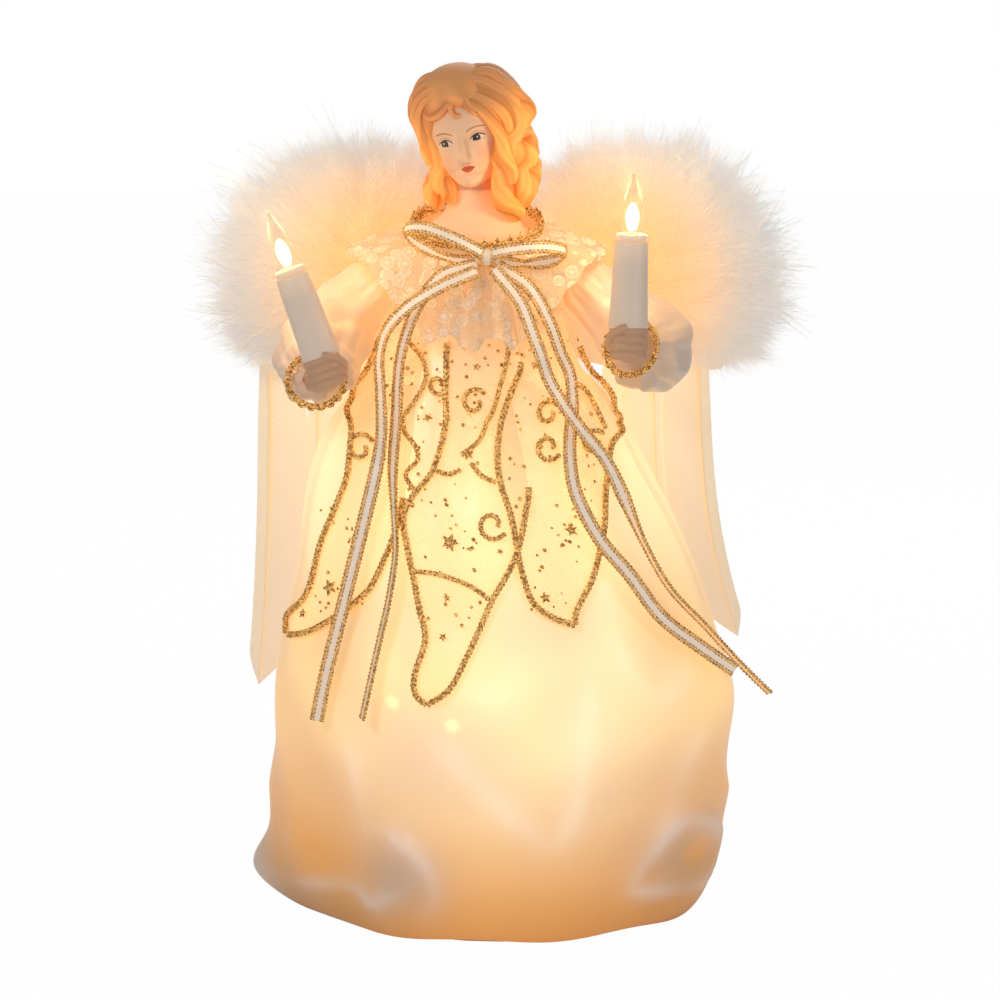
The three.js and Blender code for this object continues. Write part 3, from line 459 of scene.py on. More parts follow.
@dataclass(frozen=True)
class Lace(Finish):
    """Ivory lace: flowers and a fine net, open between the threads."""

    tint: Colour = (0.93, 0.83, 0.70)
    flower: float = 185.0

    def sockets(self, graph: Graph) -> dict:
        """Gives the surface's inputs.

        Args:
            graph: The material's nodes.

        Returns:
            The inputs by name.
        """
        middle = graph.cells(self.flower)
        petal = graph.cells(self.flower * 4.2, "DISTANCE_TO_EDGE")
        net = graph.cells(self.flower * 9, "DISTANCE_TO_EDGE")
        ring = middle.near(0.42, 0.03, 0.12)
        heart = 1 - middle.rise(0.16, 0.24)
        veins = 1 - petal.rise(0.05, 0.12)
        leaf = (1 - middle.rise(0.34, 0.46)) * (0.62 + veins * 0.38)
        threads = (1 - net.rise(0.05, 0.14)) * 0.42
        cloth = leaf.over(threads).over(ring * 0.9).over(heart)
        return {
            "Base Color": graph.blend(veins, self.tint, (0.80, 0.64, 0.47)),
            "Roughness": 0.8 - heart * 0.1,
            "Alpha": (cloth * 0.85 + 0.12).under(1.0),
            "Sheen Weight": 0.3,
            "Emission Color": graph.blend(graph.mark("glow"), BLACK, (0.9, 0.45, 0.14)),
            "Normal": graph.bump(cloth, 0.6, 0.0005),
        }


@dataclass(frozen=True)
class Ribbon(Finish):
    """White ribbon with metallic gold edges."""

    cloth: Colour = (0.84, 0.76, 0.69)
    gold: Colour = (0.80, 0.50, 0.17)

    def sockets(self, graph: Graph) -> dict:
        """Gives the surface's inputs.

        Args:
            graph: The material's nodes.

        Returns:
            The inputs by name.
        """
        edge = graph.mark("edge")
        grain = graph.noise(1600, 1.0)
        gold = graph.blend(grain.rise(0.35, 0.65), darker(self.gold, 0.45), self.gold)
        # Painted light: the cloth glows warm by its glow mark, and the gold edges glow in scattered specks as
        # painted glints.
        cloth = graph.blend(graph.mark("glow"), (0.24, 0.165, 0.105), (0.33, 0.205, 0.09))
        thread = graph.blend(grain.rise(0.4, 0.6), (0.02, 0.008, 0.001), (0.30, 0.14, 0.03))
        return {
            "Base Color": graph.blend(edge, self.cloth, gold),
            "Roughness": 0.42 - edge * 0.1,
            "Metallic": edge * 0.5,
            "Emission Color": graph.blend(edge, cloth, thread),
            "Normal": graph.bump(grain, 0.25, 0.0002),
        }


@dataclass(frozen=True)
class Plume(Finish):
    """Down, warmed where lamps shine on it."""

    tint: Colour = (0.93, 0.92, 0.905)
    warm: Colour = (0.93, 0.72, 0.46)
    shine: Colour = (0.33, 0.185, 0.075)
    # The faint painted glow of the down all over.
    own: float = 0.11

    def sockets(self, graph: Graph) -> dict:
        """Gives the surface's inputs.

        Args:
            graph: The material's nodes.

        Returns:
            The inputs by name.
        """
        warm = graph.mark("warm")
        _, down, _ = graph.split(graph.uv())
        tint = graph.blend(warm, self.tint, self.warm)
        return {
            # Painted shade: the shade mark darkens tufts towards their roots.
            "Base Color": graph.blend(graph.mark("shade"), tint, (0.60, 0.56, 0.51)),
            "Roughness": 0.75 + (graph.noise(260) - 0.5) * 0.1 + down * 0.05,
            "Sheen Weight": 0.25,
            # Painted light: the faint glow all over turns warmer where the lamps shine.
            "Emission Color": graph.blend(warm, (self.own,) * 3, self.shine),
        }


@dataclass(frozen=True)
class Card(Finish):
    """White card, warmed on the side that faces the lamps."""

    tint: Colour = (0.80, 0.74, 0.66)
    shine: Colour = (0.30, 0.16, 0.055)

    def sockets(self, graph: Graph) -> dict:
        """Gives the surface's inputs.

        Args:
            graph: The material's nodes.

        Returns:
            The inputs by name.
        """
        facing = graph.split(graph.node("ShaderNodeNewGeometry", {}, {}, "Normal"))[1]
        front = (0 - facing).rise(0.2, 0.8)
        return {
            "Base Color": graph.blend(graph.noise(300) * 0.2, self.tint, darker(self.tint, 0.9)),
            "Roughness": 0.75 + graph.noise(400) * 0.1,
            "Emission Color": graph.blend(front, (0.02, 0.016, 0.012), self.shine),
        }


@dataclass(frozen=True)
class Vane(Finish):
    """A goose feather: fine barbs each side of a quill."""

    tint: Colour = (0.90, 0.80, 0.63)
    quill: Colour = (0.84, 0.66, 0.40)

    def sockets(self, graph: Graph) -> dict:
        """Gives the surface's inputs.

        Args:
            graph: The material's nodes.

        Returns:
            The inputs by name.
        """
        across, down, _ = graph.split(graph.uv())
        stem = graph.mark("stem")
        barbs = (down * 260 - abs(across - 0.5) * 44).wave() * 0.5 + 0.5
        streak = graph.noise(160, 3.0)
        vane = graph.blend(barbs * 0.04 + streak * 0.3, self.tint, darker(self.tint, 0.84))
        return {
            "Base Color": graph.blend(stem, vane, self.quill),
            "Roughness": 0.62 - stem * 0.2,
            "Sheen Weight": 0.15,
            "Alpha": 0.97 - barbs * 0.015 + stem * 0.1,
            # Painted warm glow, stronger where lamp light reaches the feather.
            "Emission Color": graph.blend(graph.mark("warm"), (0.27, 0.19, 0.12), (0.54, 0.36, 0.18)),
            "Normal": graph.bump(barbs, 0.25, 0.0002),
        }


@dataclass(frozen=True)
class PaintedSkin(Finish):
    """Bisque skin with painted eyes, brows, lips and cheeks."""

    skin: Colour = (0.88, 0.59, 0.40)
    cheek: Colour = (0.86, 0.36, 0.16)
    lip: Colour = (0.62, 0.085, 0.035)
    dark: Colour = (0.035, 0.014, 0.008)
    brow: Colour = (0.34, 0.13, 0.045)
    eye: Flat = (5.6, 0.05)
    mouth: float = -9.6

    def sockets(self, graph: Graph) -> dict:
        """Gives the surface's inputs.

        Args:
            graph: The material's nodes.

        Returns:
            The inputs by name.
        """
        right = graph.mark("face_right")
        high = graph.mark("face_up")
        side = abs(right)
        grain = graph.noise(500, 3.0)
        from_eye = side - self.eye[0]
        above_eye = high - self.eye[1]
        lid = 1.2 - from_eye * from_eye * 0.19
        floor = from_eye * from_eye * 0.13 - 0.95
        white = (lid - above_eye).rise(0, 0.12) * (above_eye - floor).rise(0, 0.12)
        iris_side = abs(right + 0.35) - self.eye[0]
        iris_up = above_eye + 0.1
        iris_far = (iris_side * iris_side + iris_up * iris_up) ** 0.5
        iris = (1 - iris_far.rise(1.25, 1.42)) * white
        glint_side = iris_side - 0.32
        glint_up = iris_up - 0.38
        glint = 1 - (glint_side * glint_side + glint_up * glint_up).rise(0.03, 0.09)
        over_lid = above_eye - lid
        lash = over_lid.near(0.12, 0.16, 0.34) * from_eye.near(0, 2.4, 2.75)
        under = (above_eye - floor).near(-0.05, 0.05, 0.2) * from_eye.near(0, 2.0, 2.5) * 0.4
        fold = over_lid.near(1.0, 0.08, 0.32) * from_eye.near(0, 2.2, 3.0) * 0.45
        arch = 4.0 - (side - 5.8) * (side - 5.8) * 0.1
        brow = (above_eye - arch).near(0, 0.12, 0.36) * side.near(5.5, 2.7, 3.3)
        cupid = 1.35 - side * side * 0.22 - (1 - side.rise(0.0, 0.7)) * 0.28
        below = side * side * 0.22 - 1.45
        over_mouth = high - self.mouth
        lips = (cupid - over_mouth).rise(0, 0.25) * (over_mouth - below).rise(0, 0.25)
        parting = (over_mouth - side * 0.06).near(0.02, 0.05, 0.2) * (1 - side.rise(1.9, 2.4))
        blush_side = (side - 7.6) / 4.2
        blush_up = (high + 5.8) / 3.6
        blush = (1 - (blush_side * blush_side + blush_up * blush_up).rise(0.0, 1.2)) * 0.4
        # Painted shade under the nose and down its right side.
        nostril_shade = side.near(0.95, 0.25, 0.7) * high.near(-7.55, 0.1, 0.45) * 0.55
        nose_side_shade = right.near(1.75, 0.2, 1.1) * high.rise(-7.2, -5.5) * (1 - high.rise(-1.0, 3.0)) * 0.3
        tint = graph.blend(grain * 0.3, self.skin, darker(self.skin, 0.9))
        for share, paint in (
            (blush, self.cheek),
            (nostril_shade + nose_side_shade, (0.45, 0.17, 0.07)),
            (fold + under, self.brow),
            (lips, self.lip),
            (parting, (0.28, 0.03, 0.015)),
            (white, (0.82, 0.74, 0.66)),
            (iris, self.dark),
            (glint * iris, (0.9, 0.9, 0.9)),
            (brow * 0.85, self.brow),
            (lash, self.dark),
        ):
            tint = graph.blend(share, tint, paint)
        bare = (1 - iris) * (1 - lash) * (1 - brow * 0.7) * (1 - lips * 0.5)
        return {
            "Base Color": tint,
            "Roughness": 0.55 - lips * 0.15,
            "Coat Weight": white * 0.4,
            "Emission Color": graph.blend(graph.mark("glow") * bare, BLACK, (0.65, 0.28, 0.09)),
        }


@dataclass(frozen=True)
class MouldedHair(Finish):
    """Painted moulded hair, brown at the crown and more golden lower down as painted warm lamp light, which
    also glows there, with painted shade in its grooves.
    """

    crown: Colour = (0.90, 0.40, 0.15)
    ends: Colour = (0.95, 0.46, 0.13)

    def sockets(self, graph: Graph) -> dict:
        """Gives the surface's inputs.

        Args:
            graph: The material's nodes.

        Returns:
            The inputs by name.
        """
        low = graph.mark("low")
        groove = graph.mark("groove")
        grain = graph.noise(700, 3.0)
        # Painted light and shade: the lower hair is tinted more golden as warm lamp light, and the grooves
        # are darker as shade.
        tint = graph.blend(low, self.crown, self.ends)
        deep = graph.blend(low, (0.52, 0.19, 0.06), (0.72, 0.18, 0.02))
        return {
            "Base Color": graph.blend(groove * 0.75, tint, deep),
            "Roughness": 0.5 + (grain - 0.5) * 0.2,
            # Painted warm lamp light: the lower hair glows, less in the grooves.
            "Emission Color": graph.blend(low * (1 - groove * 0.8), BLACK, (0.36, 0.125, 0.018)),
            "Normal": graph.bump(grain, 0.15, 0.0003),
        }


@dataclass(frozen=True)
class Lit(Finish):
    """A glowing lamp glass or the plastic next to it, lit from edge to core as its hot mark rises."""

    tint: Colour
    edge: Colour
    core: Colour
    power: float
    rough: float = 0.2
    cover: float = 1.0

    def sockets(self, graph: Graph) -> dict:
        """Gives the surface's inputs.

        Args:
            graph: The material's nodes.

        Returns:
            The inputs by name.
        """
        grain = graph.noise(800)
        return {
            "Base Color": graph.blend(grain * 0.15, self.tint, darker(self.tint, 0.85)),
            "Roughness": self.rough + grain * 0.05,
            "Alpha": self.cover,
            "Emission Color": graph.blend(graph.mark("hot"), self.edge, self.core),
            "Emission Strength": self.power,
        }


class Body(Enum):
    """What a piece moves with."""

    FIGURE = "figure"
    LEFT_ARM = "left_arm"
    RIGHT_ARM = "right_arm"
    LEFT_BULB = "left_bulb"
    RIGHT_BULB = "right_bulb"


class Side(Enum):
    """The viewer's left or right, as a sign along X."""

    LEFT = -1
    RIGHT = 1

    @property
    def word(self) -> str:
        """The side's name in piece names."""
        return self.name.lower()


class Shape:
    """A piece being made, in millimetres, before it becomes an object."""

    def __init__(self, *marks: str) -> None:
        """Starts an empty piece.

        Args:
            marks: The values kept on its vertices.
        """
        self.bm = bmesh.new()
        self.uv = self.bm.loops.layers.uv.new("UVMap")
        for name in marks:
            self.bm.verts.layers.float.new(name)

    def mark(self, name: str, verts: Sequence[bmesh.types.BMVert], value: Callable[[Vector], float]) -> None:
        """Keeps a value on vertices.

        Args:
            name: The value's name.
            verts: Where it is kept.
            value: Gives it from the place.
        """
        layer = self.bm.verts.layers.float[name]
        for vert in verts:
            vert[layer] = value(vert.co)

    def grid(self, place: Layout, across: int, along: int, **marks: Callable) -> list:
        """Adds a grid, laid out by a rule.

        Args:
            place: Gives the place for two shares from 0 to 1.
            across: Cells the first way.
            along: Cells the second way.
            marks: Values to keep, each from the same two shares.

        Returns:
            The new vertices.
        """
        made = bmesh.ops.create_grid(self.bm, x_segments=across, y_segments=along, size=0.5)["verts"]
        shares = [(v.co.x + 0.5, v.co.y + 0.5) for v in made]
        for vert, share in zip(made, shares):
            for loop in vert.link_loops:
                loop[self.uv].uv = share
        for vert, share in zip(made, shares):
            vert.co = place(*share)
        for name, value in marks.items():
            layer = self.bm.verts.layers.float[name]
            for vert, share in zip(made, shares):
                vert[layer] = value(*share)
        return made

    def close(self, verts: Sequence[bmesh.types.BMVert], gap: float = 0.002) -> None:
        """Joins a grid's edges and poles where they meet."""
        bmesh.ops.remove_doubles(self.bm, verts=verts, dist=gap)

    def sweep(
        self,
        route: Route,
        section: Section,
        steps: int,
        sides: int,
        face: Facing | None = None,
        capped: bool = True,
        **marks: Callable,
    ) -> None:
        """Adds a tube along a route.

        Args:
            route: Its middle.
            section: Gives the offsets across and outwards, for shares around and along.
            steps: Rows along.
            sides: Cells around.
            face: Gives the outward direction at a place; without it the tube doesn't turn.
            capped: Whether its ends are closed.
            marks: Values to keep, from shares around and along.
        """
        extra = 1 if capped else 0
        rows = steps + 2 * extra
        stations = []
        outward = None
        for row in range(rows + 1):
            share = min(1.0, max(0.0, (row - extra) / steps))
            here = route.at(share)
            ahead = route.along(share)
            wish = face(here, share) if face else (outward or (UP if abs(ahead.z) < 0.9 else FRONT))
            outward = (wish - ahead * wish.dot(ahead)).normalized()
            size = 0.0 if capped and row in (0, rows) else 1.0
            stations.append((share, here, ahead.cross(outward), outward, size))

        def place(around: float, along: float) -> Vector:
            """Lays out one vertex of the tube.

            Args:
                around: The share around the section.
                along: The share along the route.

            Returns:
                The place.
            """
            share, here, across, out, size = stations[round(along * rows)]
            x, y = section(around, share)
            return here + (across * x + out * y) * size

        eased = {k: (lambda u, v, f=f: f(u, stations[round(v * rows)][0])) for k, f in marks.items()}
        self.close(self.grid(place, sides, rows, **eased))

    def lathe(self, profile: Sequence[Flat], place: Matrix, sides: int = 40) -> list:
        """Adds a turned form.

        Args:
            profile: Radius and height pairs from one end to the other.
            place: Where it stands.
            sides: Steps around.

        Returns:
            The new vertices.
        """
        before = set(self.bm.verts)
        dots = [self.bm.verts.new((r, 0, z)) for r, z in profile]
        edges = [self.bm.edges.new(pair) for pair in zip(dots, dots[1:])]
        around = {"axis": UP, "cent": (0, 0, 0), "steps": sides, "angle": TAU, "use_merge": True}
        bmesh.ops.spin(self.bm, geom=[*dots, *edges], **around)
        made = [v for v in self.bm.verts if v not in before]
        bmesh.ops.remove_doubles(self.bm, verts=made, dist=0.0005)
        made = [v for v in self.bm.verts if v not in before]
        bmesh.ops.transform(self.bm, matrix=place, verts=made)
        return made

    def ball(self, place: Matrix, fine: int = 20) -> list:
        """Adds a ball of radius 1, placed and sized by a matrix."""
        sizes = {"u_segments": fine, "v_segments": max(6, fine // 2), "radius": 1.0}
        return bmesh.ops.create_uvsphere(self.bm, matrix=place, **sizes)["verts"]

    def piece(
        self,
        name: str,
        finish: bpy.types.Material,
        slot: str,
        replaces: Sequence[str] = (),
        away_from: Callable[[Vector], Vector] | None = None,
        thick: float = 0.0,
        body: Body = Body.FIGURE,
    ) -> bpy.types.Object:
        """Makes the object.

        Args:
            name: Its name.
            finish: Its material.
            slot: Its material slot's name, which is not used.
            replaces: The CAD nodes it stands for.
            away_from: For an open cloth, the inner place that its faces look away from.
            thick: For an open cloth, its thickness.
            body: What it moves with.

        Returns:
            The object.
        """
        bm = self.bm
        bmesh.ops.recalc_face_normals(bm, faces=bm.faces)
        if away_from:
            middles = ((f.normal, f.calc_center_median()) for f in bm.faces)
            out = sum(normal.dot(middle - away_from(middle)) for normal, middle in middles)
            if out < 0:
                bmesh.ops.reverse_faces(bm, faces=bm.faces)
        for face in bm.faces:
            face.smooth = True
        bmesh.ops.scale(bm, vec=(MM, MM, MM), verts=bm.verts)
        mesh = bpy.data.meshes.new(name)
        bm.to_mesh(mesh)
        bm.free()
        obj = bpy.data.objects.new(name, mesh)
        bpy.context.scene.collection.objects.link(obj)
        mesh.materials.append(finish)
        if thick:
            wall = obj.modifiers.new("thickness", "SOLIDIFY")
            wall.thickness = thick * MM
            wall.offset = -1.0
        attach(obj, body.value)
        if replaces:
            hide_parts(*replaces)
        log.info("%s: %d faces, on %s", name, len(mesh.polygons), body.value)
        return obj


def measured(obj: bpy.types.Object) -> float:
    """Adds up a piece's surface before its modifiers, in square metres."""
    return sum(p.area for p in obj.data.polygons)


def round_section(radius: Callable[[float], float] | float) -> Section:
    """Makes a round tube section from a radius, or from a rule that gives it by the share along.

    Args:
        radius: The radius, or its rule.

    Returns:
        The section.
    """

    def section(around: float, along: float) -> Flat:
        """Gives one offset."""
        size = radius(along) if callable(radius) else radius
        return size * math.cos(TAU * around), size * math.sin(TAU * around)

    return section


def twisted_section(radius: float, turns: float) -> Section:
    """Makes a two-ply twisted cord section from its radius and its number of twists.

    Args:
        radius: The cord's radius.
        turns: Its twists.

    Returns:
        The section.
    """

    def section(around: float, along: float) -> Flat:
        """Gives one offset."""
        size = radius * (0.80 + 0.20 * math.cos(2 * TAU * (around - along * turns)))
        return size * math.cos(TAU * around), size * math.sin(TAU * around)

    return section


@dataclass(frozen=True)
class Dress:
    """The dress's shape, which everything on it follows.

    Angles go from the front towards the viewer's right.
    """

    waist_z: float = 190.0
    neck_z: float = 243.0
    neck_drop: float = 6.5
    waist_r: float = 40.0
    waist_depth: float = 0.68
    neck_r: float = 22.8
    neck_depth: float = 0.8
    curve: float = 0.6
    lean: float = 8.0
    lean_from: float = 110.0
    lean_to: float = 170.0
    hip: Flat = (58.0, 168.0)
    knee: Flat = (80.0, 110.0)
    low: Flat = (80.0, 45.0)
    hem: Flat = (65.0, 0.6)
    tuck_r: float = 54.8
    skirt_depth: float = 0.85
    hem_depth: float = 0.92
    lamps: tuple[tuple[int, float, float, float], ...] = ((5, 62.0, 14.0, 72.0), (3, 118.0, -22.0, 120.0))

    def lean_at(self, z: float) -> float:
        """Gives how far the figure leans to the viewer's left at a height."""
        return -self.lean * ease(z, self.lean_from, self.lean_to)

    def ring(self, a: float, r: float, depth: float, z: float) -> Vector:
        """Gives a place on a leaning oval ring, from its angle, half width, share of depth and height."""
        return Vector((self.lean_at(z) + r * math.sin(a), -r * depth * math.cos(a), z))

    def neck_at(self, a: float) -> float:
        """Gives the neckline's height at an angle."""
        return self.neck_z - self.neck_drop * math.cos(a)

    def bodice_r(self, z: float) -> float:
        """Gives the bodice's half width at a height."""
        share = min(1.0, max(0.0, (z - self.waist_z) / (self.neck_z - self.waist_z)))
        return mix(self.waist_r, self.neck_r, share**self.curve)

    def bodice_depth(self, z: float) -> float:
        """Gives the bodice's depth for its width at a height."""
        return mix(self.waist_depth, self.neck_depth, (z - self.waist_z) / (self.neck_z - self.waist_z))

    def fall(self, t: float) -> Flat:
        """Gives the skirt's radius and height along its fall, before the hem turns in.

        Args:
            t: The share of the fall.

        Returns:
            The radius and the height.
        """
        k = 1 - t
        parts = (k**3, 3 * k * k * t, 3 * k * t * t, t**3)
        knots = ((self.waist_r, self.waist_z), self.hip, self.knee, self.low)
        return tuple(sum(p * knot[i] for p, knot in zip(parts, knots)) for i in (0, 1))

    def fall_share(self, z: float) -> float:
        """Finds the share of the fall that lies at a height.

        Args:
            z: The height.

        Returns:
            The share.
        """
        low, high = 0.0, 1.0
        for _ in range(24):
            half = (low + high) / 2
            low, high = (half, high) if self.fall(half)[1] > z else (low, half)
        return low

    def fold(self, a: float, t: float) -> float:
        """Gives the folds' relief: gathers at the waist and broad swags lower down.

        Args:
            a: The angle from the front.
            t: The share of the fall.

        Returns:
            How far the cloth stands out.
        """
        gathers = 1.7 * ease(t, 0, 0.25) * (1 - ease(t, 0.35, 1)) * math.cos(11 * a)
        swags = 2.4 * ease(t, 0.3, 1) * math.cos(5 * a + 0.7)
        pleats = 0.6 * ease(t, 0, 0.08) * (1 - ease(t, 0.15, 0.5)) * math.cos(29 * a + 1.3 * math.sin(4 * a))
        hang = 15 * t + 3.4 * math.cos(a - 0.15) ** 2 * t + 5 * abs(math.sin(a / 2 - 0.05))
        drape = 1.1 * ease(t, 0.4, 0.75) * math.sin(hang)
        drag = 0.7 * ease(t, 0.5, 0.9) * math.sin(24 * t - 9 * math.cos(a - 0.1) + 1.5 * math.sin(3 * a))
        return gathers + swags + pleats + drape + drag

    # Each crest's points, as an angle in degrees and a height, then its half width, height and painted
    # silvery sheen.
    CRESTS: ClassVar[tuple] = (
        (
            ((-20.6, 77), (-12.4, 68), (-3.7, 56), (4.9, 44), (12.8, 36.6), (18.4, 45), (21.3, 61),
             (22.6, 79), (23.3, 95)),
            6.0, 1.9, 0.6,
        ),
        (((-46, 77), (-41, 65), (-39, 54), (-36.4, 40.2)), 4.4, 1.6, 0.42),
        (
            ((-36.4, 40.2), (-30.4, 40.3), (-25.6, 37.9), (-21.4, 33.9), (-18.6, 29.6), (-16.4, 19.9),
             (-19.4, 12.1)),
            4.2, 2.9, 0.95,
        ),
        (
            ((-74, 13), (-62, 15), (-52, 17.4), (-43.4, 18.2), (-38.2, 15.9), (-36.7, 12.9), (-32, 15.5),
             (-27.6, 18), (-22.7, 22.5)),
            3.8, 2.5, 0.9,
        ),
        (
            ((51.7, 40.5), (63.3, 36.5), (74, 27), (70, 16), (50.5, 15.5), (37.1, 18.7), (38.5, 25.2),
             (42.4, 30.8), (46.6, 37), (51.7, 40.5)),
            4.2, 2.9, 0.95,
        ),
        (((63.3, 80), (56.3, 67), (51.2, 54), (48, 44)), 4.8, 1.5, 0.35),
        (((-11.7, 98), (-7.6, 90), (-5.1, 87.7), (1.3, 90), (3.9, 100)), 4.6, 1.2, 0.3),
        (((30, 110), (36, 94), (46, 84), (60, 100)), 6.0, 1.4, 0.3),
    )

    @lru_cache(maxsize=None)
    def crests(self, a: float, z: float) -> Flat:
        """Gives the relief and the sheen of the wrinkles' crests at a place.

        Args:
            a: The angle from the front.
            z: The height.

        Returns:
            How far the cloth stands out, and how much painted silvery sheen it has.
        """
        turn = DEGREE * math.degrees(a)
        lift, sheen = 0.0, 0.0
        for line, box, wide, high, painted_sheen in self.crest_lines():
            if not (box[0] < turn < box[1] and box[2] < z < box[3]):
                continue
            near, fade = 1e9, 0.0
            for (x0, z0, f0), (x1, z1, _) in zip(line, line[1:]):
                run, climb = x1 - x0, z1 - z0
                share = ((turn - x0) * run + (z - z0) * climb) / (run * run + climb * climb)
                share = min(1.0, max(0.0, share))
                far = math.hypot(turn - x0 - share * run, z - z0 - share * climb)
                if far < near:
                    near, fade = far, f0
            lift += fade * high * hill(near, wide)
            # Painted silvery sheen along the crest.
            sheen += fade * painted_sheen * (0.55 * hill(near, wide * 0.6) + 0.45 * hill(near, wide * 1.5))
        return lift, min(1.0, sheen)

    @lru_cache(maxsize=None)
    def crest_lines(self) -> list[tuple]:
        """Lays the wrinkles' crests out as smooth curves, fading at their ends.

        Returns:
            Each crest's curve, the box it matters in, its width, height and painted silvery sheen.
        """
        lines = []
        for points, wide, high, painted_sheen in self.CRESTS:
            route = Route([(DEGREE * a, z, 0) for a, z in points])
            closed = points[0] == points[-1]
            count = max(8, int(route.length / 3))
            curve = []
            for i in range(count + 1):
                at = route.at(i / count)
                ends = 1.0 if closed else 0.25 + 0.75 * ease(min(i, count - i) / count * route.length, 0, 16)
                curve.append((at.x, at.y, ends * (0.8 + 0.2 * math.sin(0.21 * i * 3 + wide))))
            xs, zs = [c[0] for c in curve], [c[1] for c in curve]
            reach = 3.2 * wide
            box = (min(xs) - reach, max(xs) + reach, min(zs) - reach, max(zs) + reach)
            lines.append((curve, box, wide, high, painted_sheen))
        return lines

    @lru_cache(maxsize=None)
    def creases(self, a: float, z: float) -> float:
        """Gives the soft dents and bulges near the hem.

        Args:
            a: The angle from the front.
            z: The height.

        Returns:
            How far the cloth stands out.
        """
        turn = math.degrees(a)
        ring = math.hypot((turn - 56) * 1.0, (z - 26) * 1.15)
        dimple = self.crests(a, z)[0] - 1.2 * hill(ring, 8)
        puffs = 0.0
        for at, height, slope, wide, tall, size in (
            (-60, 34, 0.6, 9, 6, 1.6), (-58, 8, 0.2, 10, 4, 1.2),
            (28, 12, -0.3, 12, 5, 0.9), (75, 48, -0.8, 9, 7, 1.2),
        ):
            across = turn - at
            puffs += size * hill(across, wide * 1.6) * hill(z - height - slope * across, tall)
        bulge = 6.0 * hill(turn - 84, 26) * hill(z - 76, 20)
        return dimple + puffs + bulge

    @staticmethod
    def puff(a: float, z: float) -> float:
        """Gives how far the hem's loose fold at the back left stands out."""
        return 13.0 * hill(math.degrees(a) + 97, 15) * hill(z - 12, 13)

    @lru_cache(maxsize=None)
    def skirt(self, a: float, v: float, lift: float = 0.0) -> Vector:
        """Gives a place on the skirt: the fall, the hem's turn and the tuck, for v from 0 to 1.

        Args:
            a: The angle from the front.
            v: The share of the cloth, from the waist to the tuck.
            lift: How far off it.

        Returns:
            The place.
        """
        fall_end, turn_end = 0.78, 0.96
        if v <= fall_end:
            t = v / fall_end
            r, z = self.fall(t)
            depth = mix(self.waist_depth, self.skirt_depth, ease(t, 0, 0.4))
            r += self.fold(a, t) + self.creases(a, z)
        elif v <= turn_end:
            s = (v - fall_end) / (turn_end - fall_end) * math.pi / 2
            r = mix(self.hem[0], self.low[0], math.cos(s))
            z = mix(self.low[1], self.hem[1], math.sin(s))
            depth = mix(self.skirt_depth, self.hem_depth, math.sin(s))
            r += (self.fold(a, 1.0) + self.creases(a, z)) * (1 - 0.7 * math.sin(s)) + self.puff(a, z)
            z += 1.6 * math.sin(s) ** 6 * (1 + math.cos(7 * a + 1)) / 2
        else:
            s = (v - turn_end) / (1 - turn_end)
            r = mix(self.hem[0] + self.fold(a, 1.0) * 0.3 + self.puff(a, self.hem[1]), self.tuck_r, s)
            z = self.hem[1] + 1.6 * (1 + math.cos(7 * a + 1)) / 2 * (1 - s)
            depth = mix(self.hem_depth, 1.0, s)
        return self.ring(a, r + lift, depth, z)

    def on(self, a: float, z: float, lift: float = 0.0) -> Vector:
        """Gives a place on the bodice or the skirt's fall, at an angle and a height.

        Args:
            a: The angle from the front.
            z: The height.
            lift: How far off the cloth.

        Returns:
            The place.
        """
        if z >= self.waist_z:
            return self.ring(a, self.bodice_r(z) + lift, self.bodice_depth(z), z)
        t = self.fall_share(z)
        r = self.fall(t)[0] + self.fold(a, t) + self.creases(a, z) + lift
        return self.ring(a, r, mix(self.waist_depth, self.skirt_depth, ease(t, 0, 0.4)), z)

    def angle(self, x: float, z: float, lift: float = 0.0) -> float:
        """Finds the front angle whose place has a given X.

        Args:
            x: The place's X.
            z: The height.
            lift: How far off the cloth.

        Returns:
            The angle.
        """
        low, high = -math.pi / 2, math.pi / 2
        for _ in range(26):
            half = (low + high) / 2
            low, high = (half, high) if self.on(half, z, lift).x < x else (low, half)
        return low

    def axis(self, place: Vector) -> Vector:
        """Gives the inner place that a dress surface looks away from."""
        return Vector((self.lean_at(place.z), 0, place.z))

    @lru_cache(maxsize=None)
    def lamp_places(self) -> list[Vector]:
        """Lists where the lamps inside the skirt shine from."""
        places = []
        for count, z, first, step in self.lamps:
            for i in range(count):
                a = math.radians(first + i * step)
                r = 52 - 37 * z / 205 + 16
                places.append(Vector((r * math.sin(a), -r * math.cos(a), z + 3)))
        return places


